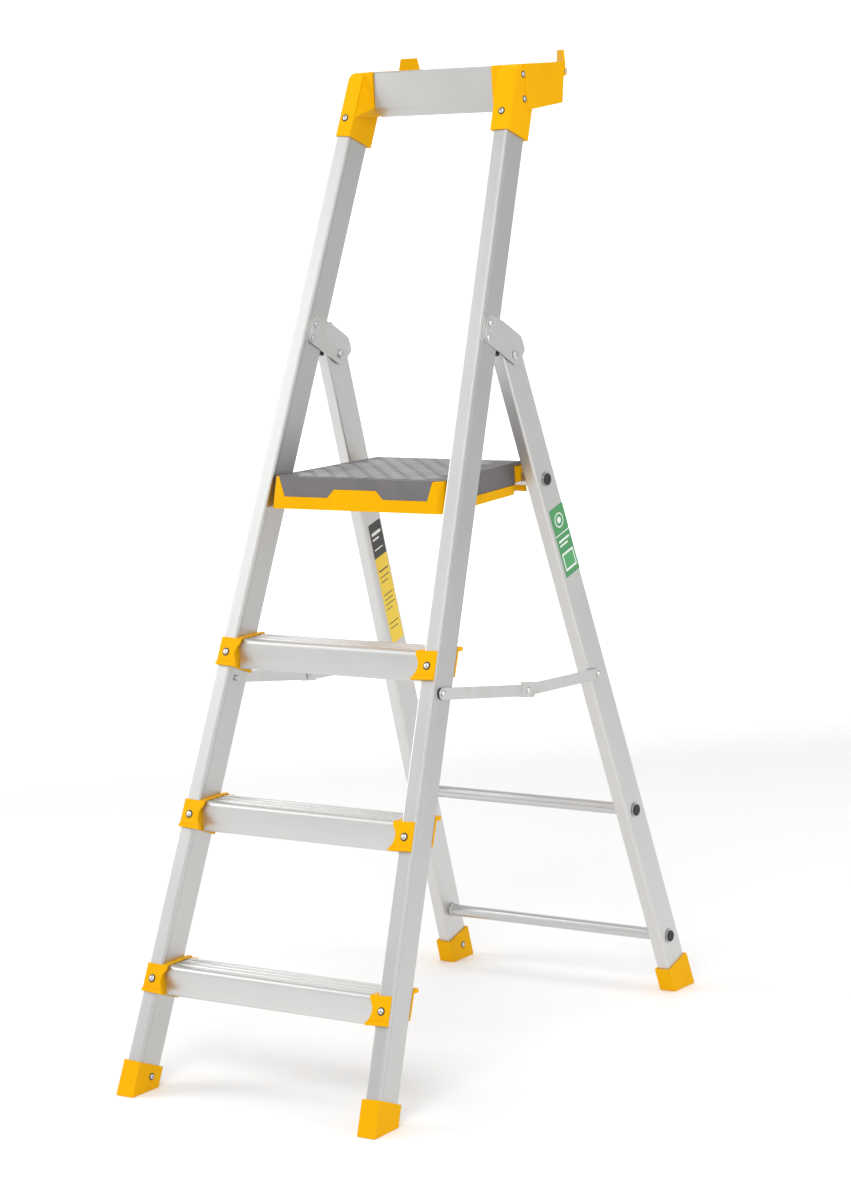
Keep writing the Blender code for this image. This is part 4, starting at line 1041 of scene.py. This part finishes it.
@dataclass
class TopTray(Assembly):
    """Crossbar with its tray, and the corner brackets with their screws.

    Attributes:
        front_screw: u, v and height of the screw in the sleeve's front.
        side_plane: distance of the bracket's outer side from the stile's inner side.
        side_screws: distance behind the foot line and height of the screws in that side.
        inner_screw: x, distance behind the foot line and height of the hidden screw.
        inner_way: the direction that the hidden screw faces.
        radii: radii of the front screw, the side screws and the hidden screw.
        screw_height: height of the screws' heads.
        painted_shade_rim_share: radius of the dark rings of painted shade, as a share of the
            screws'.
    """

    front_screw: tuple[float, float, float] = (0.0134, -0.0033, 1.431)
    side_plane: float = 0.0285
    side_screws: tuple[tuple[float, float], ...] = ((0.6353, 1.4855), (0.6332, 1.4483))
    inner_screw: tuple[float, float, float] = (0.1604, 0.7518, 1.486)
    inner_way: tuple[float, float, float] = (0.93, 0.37, 0.0)
    radii: tuple[float, float, float] = (0.0040, 0.0036, 0.0034)
    screw_height: float = 0.0020
    painted_shade_rim_share: float = 1.45

    def dress(self) -> None:
        """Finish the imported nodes."""
        metal = DrawnAluminium("look_crossbar", Grain.of(ACROSS), colour=(0.66, 0.66, 0.645),
                               roughness=0.38)
        self.wardrobe.refine("crossbar_tray", LIBRARY.get(metal), bevel=0.0004)
        for side, _ in SIDES:
            self.wardrobe.refine(f"{side}_top_bracket", LIBRARY.get(YELLOW), bevel=0.0018)

    def spots(self) -> list[tuple[Vector, Vector, float]]:
        """Find where the screws of the right-hand bracket are.

        Returns:
            Each screw's seat, direction and radius.
        """
        front, side, inner = self.radii
        u, v, z = self.front_screw
        spots = [(STILE.at(u, v, z / STILE.s.z), -STILE.v, front)]
        for y, z in self.side_screws:
            spots.append((STILE.facing(self.side_plane, FRONT_Y + y, z), STILE.u, side))
        x, y, z = self.inner_screw
        spots.append((Vector((x, FRONT_Y + y, z)), Vector(self.inner_way), inner))
        return spots

    def build(self) -> None:
        """Add four screws to each bracket."""
        for side, sign in SIDES:
            for number, (seat, outwards, radius) in enumerate(self.spots(), start=1):
                # Each screw gets a dark ring of painted shade around its head.
                Fastener(f"{side}_bracket_screw_{number}", mirror(seat, sign),
                         mirror(outwards, sign), "front_frame", radius=radius,
                         height=self.screw_height, painted_shade_rim=radius * self.painted_shade_rim_share).build()


@dataclass
class Hinges(Assembly):
    """Hinge plates, rivets, pivot bolts and the spacers between the plates."""

    def dress(self) -> None:
        """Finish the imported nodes."""
        for side, _ in SIDES:
            for face in ("outer", "inner"):
                self.wardrobe.refine(f"{side}_hinge_plate_{face}", LIBRARY.get(PLATE),
                                     bevel=0.0005)
            for number in (1, 2):
                self.wardrobe.paint(f"{side}_hinge_rivet_{number}", LIBRARY.get(ZINC))
            self.wardrobe.paint(f"{side}_pivot_bolt", LIBRARY.get(ZINC))
            self.wardrobe.refine(f"{side}_hinge_spacer", LIBRARY.get(BLACK), bevel=0.0008)


@dataclass
class Decal:
    """A printed label on a rear leg.

    Attributes:
        name: the piece's name.
        finish: what is printed on it.
        sign: +1 for the right leg, -1 for the left.
        u: the face that it is stuck on, as a distance from the leg's inner side.
        v_range: its edges across the leg.
        s_range: its edges along the leg.
        radius: radius of its corners.
        corner_steps: how many straight edges make a corner.
        film: how far its face stands off the leg.
        root: how far its back does, as a share of that.
    """

    name: str
    finish: PrintedLabel
    sign: float
    u: float
    v_range: tuple[float, float]
    s_range: tuple[float, float]
    radius: float = 0.0025
    corner_steps: int = 4
    film: float = 0.0002
    root: float = 0.25

    def outline(self) -> list[tuple[float, float]]:
        """Find the rounded outline.

        Returns:
            Its points, as (v, s) pairs.
        """
        v0, v1 = self.v_range
        s0, s1 = self.s_range
        points = []
        for cv, cs, start in ((v1, s1, 0), (v0, s1, 90), (v0, s0, 180), (v1, s0, 270)):
            mv = cv - self.radius if cv == v1 else cv + self.radius
            ms = cs - self.radius if cs == s1 else cs + self.radius
            for k in range(self.corner_steps + 1):
                angle = math.radians(start + 90.0 / self.corner_steps * k)
                points.append((mv + self.radius * math.cos(angle),
                               ms + self.radius * math.sin(angle)))
        return points

    def build(self) -> None:
        """Make the label as a thin film."""
        away = self.film if self.u > 0 else -self.film
        bm = bmesh.new()
        layers = []
        for lift in (self.root * away, away):
            layers.append([bm.verts.new(mirror(LEG.at(self.u + lift, v, s), self.sign))
                           for v, s in self.outline()])
        skin(bm, layers)
        chart = bm.loops.layers.uv.new("UVMap")
        spots = dict(zip(layers[0] + layers[1], self.outline() * 2))
        for face in bm.faces:
            for loop in face.loops:
                v, s = spots[loop.vert]
                loop[chart].uv = [(value - low) / (high - low) for value, (low, high)
                                  in ((v, self.v_range), (s, self.s_range))]
        add_piece(self.name, to_mesh(self.name, bm), LIBRARY.get(self.finish), "rear_frame")
        LOG.info("made %s", self.name)


WHITE = (0.80, 0.82, 0.80)
GREEN = (0.035, 0.27, 0.075)
PALE_GREEN = (0.05, 0.33, 0.10)
INK = (0.018, 0.018, 0.018)
GREEN_LABEL = PrintedLabel(
    "look_green_label", ground=GREEN, aspect=2.87,
    panels=(Panel(0.0, 1.0, 0.60, 0.615, WHITE), Panel(0.12, 0.88, 0.50, 0.53, WHITE),
            Panel(0.12, 0.70, 0.44, 0.465, WHITE), Panel(0.10, 0.90, 0.08, 0.34, WHITE),
            Panel(0.16, 0.84, 0.11, 0.31, PALE_GREEN)),
    discs=(Disc(0.50, 0.80, 0.30, WHITE), Disc(0.50, 0.80, 0.25, GREEN),
           Disc(0.50, 0.80, 0.13, WHITE)))
INK_ROWS = ((0.88, 0.60, 0.612), (0.88, 0.55, 0.558), (0.70, 0.51, 0.518), (0.88, 0.40, 0.408),
            (0.80, 0.36, 0.368), (0.88, 0.32, 0.328), (0.60, 0.28, 0.288), (0.88, 0.16, 0.168),
            (0.75, 0.12, 0.128))        # right end, bottom and top of each row
WARNING_LABEL = PrintedLabel(
    "look_yellow_label", ground=(0.88, 0.62, 0.02), aspect=6.3,
    panels=(Panel(0.0, 1.0, 0.72, 1.0, INK), Panel(0.14, 0.86, 0.90, 0.925, WHITE),
            Panel(0.14, 0.66, 0.86, 0.875, WHITE), Panel(0.14, 0.80, 0.78, 0.79, WHITE),
            *(Panel(0.12, *row, INK) for row in INK_ROWS)))


@dataclass
class RearFrame(Assembly):
    """Rear legs, cross tubes with their plugs, shoes and labels.

    Attributes:
        heights: heights of the cross tubes by name.
        plug_stand: how far the plugs' seats stand off the legs, along X.
        plug_outline: a plug's outline.
        screw_spot: v and s of the shoes' screws.
    """

    heights: Mapping[str, float] = field(default_factory=lambda: dict(TUBES))
    plug_stand: float = 0.0022
    plug_outline: Outline = ((0.0080, -0.0060), (0.0082, -0.0002), (0.0092, 0.0002),
                             (0.0092, 0.0010), (0.0084, 0.0016), (0.0050, 0.0018),
                             (0.0046, 0.0012), (0.0008, 0.0012))
    screw_spot: tuple[float, float] = (0.0300, 0.0165)

    def dress(self) -> None:
        """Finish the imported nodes."""
        for side, sign in SIDES:
            grain = Grain(mirror(LEG.s, sign), mirror(LEG.u, sign), LEG.v)
            metal = DrawnAluminium(f"look_leg_{side}", grain, colour=(0.71, 0.705, 0.695),
                                   roughness=0.44)
            self.wardrobe.paint(f"{side}_rear_leg", LIBRARY.get(metal))
            self.wardrobe.refine(f"{side}_rear_foot", LIBRARY.get(YELLOW), bevel=0.0020)
        tube = DrawnAluminium("look_tube", Grain.of(ACROSS), colour=(0.64, 0.64, 0.64),
                              roughness=0.30)
        for name in self.heights:
            self.wardrobe.paint(f"{name}_cross_tube", LIBRARY.get(tube))

    def build(self) -> None:
        """Add the plugs, the shoes' screws and the labels."""
        for side, sign in SIDES:
            for name, height in self.heights.items():
                down = PIVOT.z - height
                y = PIVOT.y + LEG_TANGENT * down
                x = LEG_TOP_X + LEG_TAPER * down + self.plug_stand
                plug = turned("plug", mirror(Vector((x, y, height)), sign), ACROSS * sign,
                              self.plug_outline)
                add_piece(f"{side}_{name}_plug", plug, LIBRARY.get(BLACK), "rear_frame")
                LOG.info("made %s_%s_plug", side, name)
            shoe_screw(f"{side}_rear_shoe_screw", f"{side}_rear_foot_screw", "rear_frame", LEG,
                       self.screw_spot, sign)
        Decal("green_label", GREEN_LABEL, sign=1.0, u=LEG.width, v_range=(0.0092, 0.0486),
              s_range=(0.738, 0.851)).build()
        Decal("yellow_label", WARNING_LABEL, sign=-1.0, u=0.0, v_range=(0.0115, 0.0450),
              s_range=(0.600, 0.813)).build()


@dataclass
class Platform(Assembly):
    """Moulded tray and the ribbed pad on it.

    Attributes:
        top: height of the pad's face.
        front: front edge of the lenses' field, behind the foot line.
        rear: its rear edge.
        half: half of its width at the front edge.
        narrowing: how much that half narrows per metre further back.
        rows: number of rows of lenses.
        length: length of a lens.
        gap: distance between neighbours in a row.
        share: half depth of a lens, as a share of the distance between rows.
        rise: height of a lens.
    """

    top: float = 0.8957
    front: float = 0.3720
    rear: float = 0.6020
    half: float = 0.1520
    narrowing: float = 0.0935
    rows: int = 13
    length: float = 0.0340
    gap: float = 0.0010
    share: float = 0.40
    rise: float = 0.0016

    def half_width(self, y: float) -> float:
        """Half width of the lenses' field at a distance behind the foot line."""
        return self.half - (y - self.front) * self.narrowing

    def dress(self) -> None:
        """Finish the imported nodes."""
        self.wardrobe.refine("platform_tray", LIBRARY.get(YELLOW), bevel=0.0006)
        self.wardrobe.refine("platform_pad", LIBRARY.get(PAD_GREY), bevel=0.0010)
        for side, _ in SIDES:
            self.wardrobe.paint(f"{side}_platform_pivot", LIBRARY.get(ZINC))

    def build(self) -> None:
        """Add rows of long raised lenses, staggered from row to row."""
        centres = []
        pitch = (self.rear - self.front) / self.rows
        for row in range(self.rows):
            y = self.front + (row + 0.5) * pitch
            step = self.length + self.gap
            shift = 0.5 * step if row % 2 else 0.0
            reach = self.half_width(y) - self.length / 2
            count = int(reach / step) + 1
            for k in range(-count, count + 1):
                x = k * step + shift
                if abs(x) <= reach:
                    centres.append(Vector((x, FRONT_Y + y, self.top)))
        mesh = lenses("grip", centres, self.length / 2, pitch * self.share, self.rise)
        # The lenses' lighter grey is a painted highlight.
        grip = add_piece("platform_grip", mesh, LIBRARY.get(GRIP_GREY_PAINTED_HIGHLIGHT), "platform",
                         angle=50.0)
        LOG.info("made %s with %d lenses", grip.name, len(centres))


@dataclass
class Spreaders(Assembly):
    """Folding bars on both sides, with their rivets.

    Attributes:
        washer: x, distance behind the foot line and height of the right-hand washer.
        washer_outline: a washer's outline.
    """

    washer: tuple[float, float, float] = (0.2067, 0.2695, 0.5950)
    washer_outline: Outline = ((0.0088, 0.0), (0.0090, 0.0002), (0.0090, 0.0011),
                               (0.0088, 0.0013), (0.0044, 0.0013))

    def dress(self) -> None:
        """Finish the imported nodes."""
        for side, _ in SIDES:
            for bar in ("front", "rear"):
                self.wardrobe.refine(f"{side}_spreader_{bar}_bar", LIBRARY.get(PLATE),
                                     bevel=0.0004)
            for rivet in ("front", "knee", "rear"):
                self.wardrobe.paint(f"{side}_spreader_{rivet}_rivet", LIBRARY.get(ZINC))

    def build(self) -> None:
        """Add dark washers between the stiles and the front bars."""
        x, y, z = self.washer
        for side, sign in SIDES:
            centre = mirror(Vector((x, FRONT_Y + y, z)), sign)
            ring = turned("washer", centre, ACROSS * sign, self.washer_outline)
            add_piece(f"{side}_spreader_washer", ring, LIBRARY.get(BLACK),
                      f"{side}_spreader_front")
            LOG.info("made %s_spreader_washer", side)


# ---- studio -------------------------------------------------------------------------------
@dataclass(frozen=True)
class Softbox:
    """A large soft lamp.

    Attributes:
        name: its name.
        place: where it is.
        target: what it faces.
        size: its sides.
        power: its power in watts.
    """

    name: str
    place: tuple[float, float, float]
    target: tuple[float, float, float]
    size: tuple[float, float]
    power: float

    def build(self) -> None:
        """Make the lamp."""
        lamp = bpy.data.lights.new(self.name, "AREA")
        lamp.shape = "RECTANGLE"
        lamp.size, lamp.size_y = self.size
        lamp.energy = self.power
        holder = bpy.data.objects.new(self.name, lamp)
        holder.location = self.place
        aim = Vector(self.target) - Vector(self.place)
        holder.rotation_euler = aim.to_track_quat("-Z", "Y").to_euler()
        bpy.context.scene.collection.objects.link(holder)
        LOG.info("made %s", self.name)


@dataclass
class Studio:
    """Pale floor, soft lamps and the camera.

    Attributes:
        eye: the camera's place.
        right: the camera's direction to the right.
        up: the camera's upward direction.
        lens: its focal length in millimetres.
        sensor: width of its sensor in millimetres.
        lamps: the soft lamps.
        ambient: strength of the even light from all around.
        floor_half: half of the floor's width, and its reach in front of the object.
        floor_flat: where the floor begins to curve up, behind the object.
        floor_curve: radius of that curve.
        floor_steps: how many straight strips make it.
        floor_top: height of its upper edge.
        floor_turn: how far the floor is turned towards the camera, in degrees.
        floor_drop: distance of the floor below the feet.
    """

    eye: Vector = field(default_factory=lambda: Vector((3.0596, -3.6753 + FRONT_Y, 1.5044)))
    right: Vector = field(default_factory=lambda: Vector((0.812284, 0.580601, -0.055646)))
    up: Vector = field(default_factory=lambda: Vector((-0.046127, 0.159052, 0.986192)))
    lens: float = 101.08
    sensor: float = 36.0
    lamps: tuple[Softbox, ...] = (
        Softbox("key", (1.6, -3.6, 3.6), (0.0, 0.0, 0.8), (2.4, 2.4), 96.0),
        Softbox("side", (4.2, 0.6, 1.9), (0.0, 0.0, 0.8), (1.8, 2.8), 40.0),
        Softbox("left", (-3.4, -1.6, 2.2), (0.0, 0.0, 0.8), (1.8, 2.6), 52.0),
        Softbox("overhead", (0.0, 0.6, 4.4), (0.0, 0.0, 0.6), (3.0, 3.0), 48.0),
        Softbox("back", (-2.4, 3.3, 4.5), (-6.2, 8.5, 1.5), (8.0, 3.0), 620.0))
    ambient: float = 0.60
    floor_half: float = 14.0
    floor_flat: float = 9.0
    floor_curve: float = 3.0
    floor_steps: int = 8
    floor_top: float = 9.0
    floor_turn: float = 36.0
    floor_drop: float = 0.0004

    def build(self) -> None:
        """Make everything in the studio."""
        self.build_floor()
        self.build_world()
        for lamp in self.lamps:
            lamp.build()
        self.build_camera()

    def build_floor(self) -> None:
        """Make a flat sheet that curves up far behind the object."""
        bm = bmesh.new()
        half, flat, curve = self.floor_half, self.floor_flat, self.floor_curve
        line = [(-half, 0.0), (flat, 0.0)]
        for k in range(1, self.floor_steps + 1):
            angle = math.radians(90.0 / self.floor_steps * k)
            line.append((flat + curve * math.sin(angle), curve * (1 - math.cos(angle))))
        line.append((flat + curve, self.floor_top))
        turn = Matrix.Rotation(math.radians(self.floor_turn), 3, "Z")
        rows = []
        for along, height in line:
            rows.append([bm.verts.new(turn @ Vector((x, along, height - self.floor_drop)))
                         for x in (-half, half)])
        for lower, upper in zip(rows, rows[1:]):
            bm.faces.new((lower[0], lower[1], upper[1], upper[0]))
        mesh = to_mesh("floor", bm)
        mesh.materials.append(LIBRARY.get(PAPER))
        mesh.shade_smooth()
        sheet = bpy.data.objects.new("floor", mesh)
        bpy.context.scene.collection.objects.link(sheet)
        LOG.info("made floor")

    def build_world(self) -> None:
        """Fill the surroundings with even white light."""
        world = bpy.data.worlds.new("studio")
        world.use_nodes = True
        background = world.node_tree.nodes["Background"]
        background.inputs["Color"].default_value = (1.0, 1.0, 1.0, 1.0)
        background.inputs["Strength"].default_value = self.ambient
        bpy.context.scene.world = world
        bpy.context.scene.view_settings.view_transform = "Standard"

    def build_camera(self) -> None:
        """Set the camera at the front right, a little above the platform."""
        data = bpy.data.cameras.new("camera")
        data.lens = self.lens
        data.sensor_width = self.sensor
        data.sensor_fit = "AUTO"
        data.dof.use_dof = False
        camera = bpy.data.objects.new("camera", data)
        back = self.right.cross(self.up)
        turn = Matrix((self.right, self.up, back)).transposed().to_4x4()
        camera.matrix_world = Matrix.Translation(self.eye) @ turn
        bpy.context.scene.collection.objects.link(camera)
        bpy.context.scene.camera = camera
        LOG.info("made camera")


def main() -> None:
    """Load the frame, and build the sub-assemblies and the studio in order."""
    logging.basicConfig(level=logging.INFO, format="%(name)s: %(message)s")
    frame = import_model()
    wardrobe = Wardrobe(frame)
    for assembly in (FrontFrame(wardrobe), TopTray(wardrobe), Hinges(wardrobe),
                     RearFrame(wardrobe), Platform(wardrobe), Spreaders(wardrobe)):
        LOG.info("assembly %s", type(assembly).__name__)
        assembly.dress()
        assembly.build()
    Studio().build()


if __name__ == "__main__":
    main()
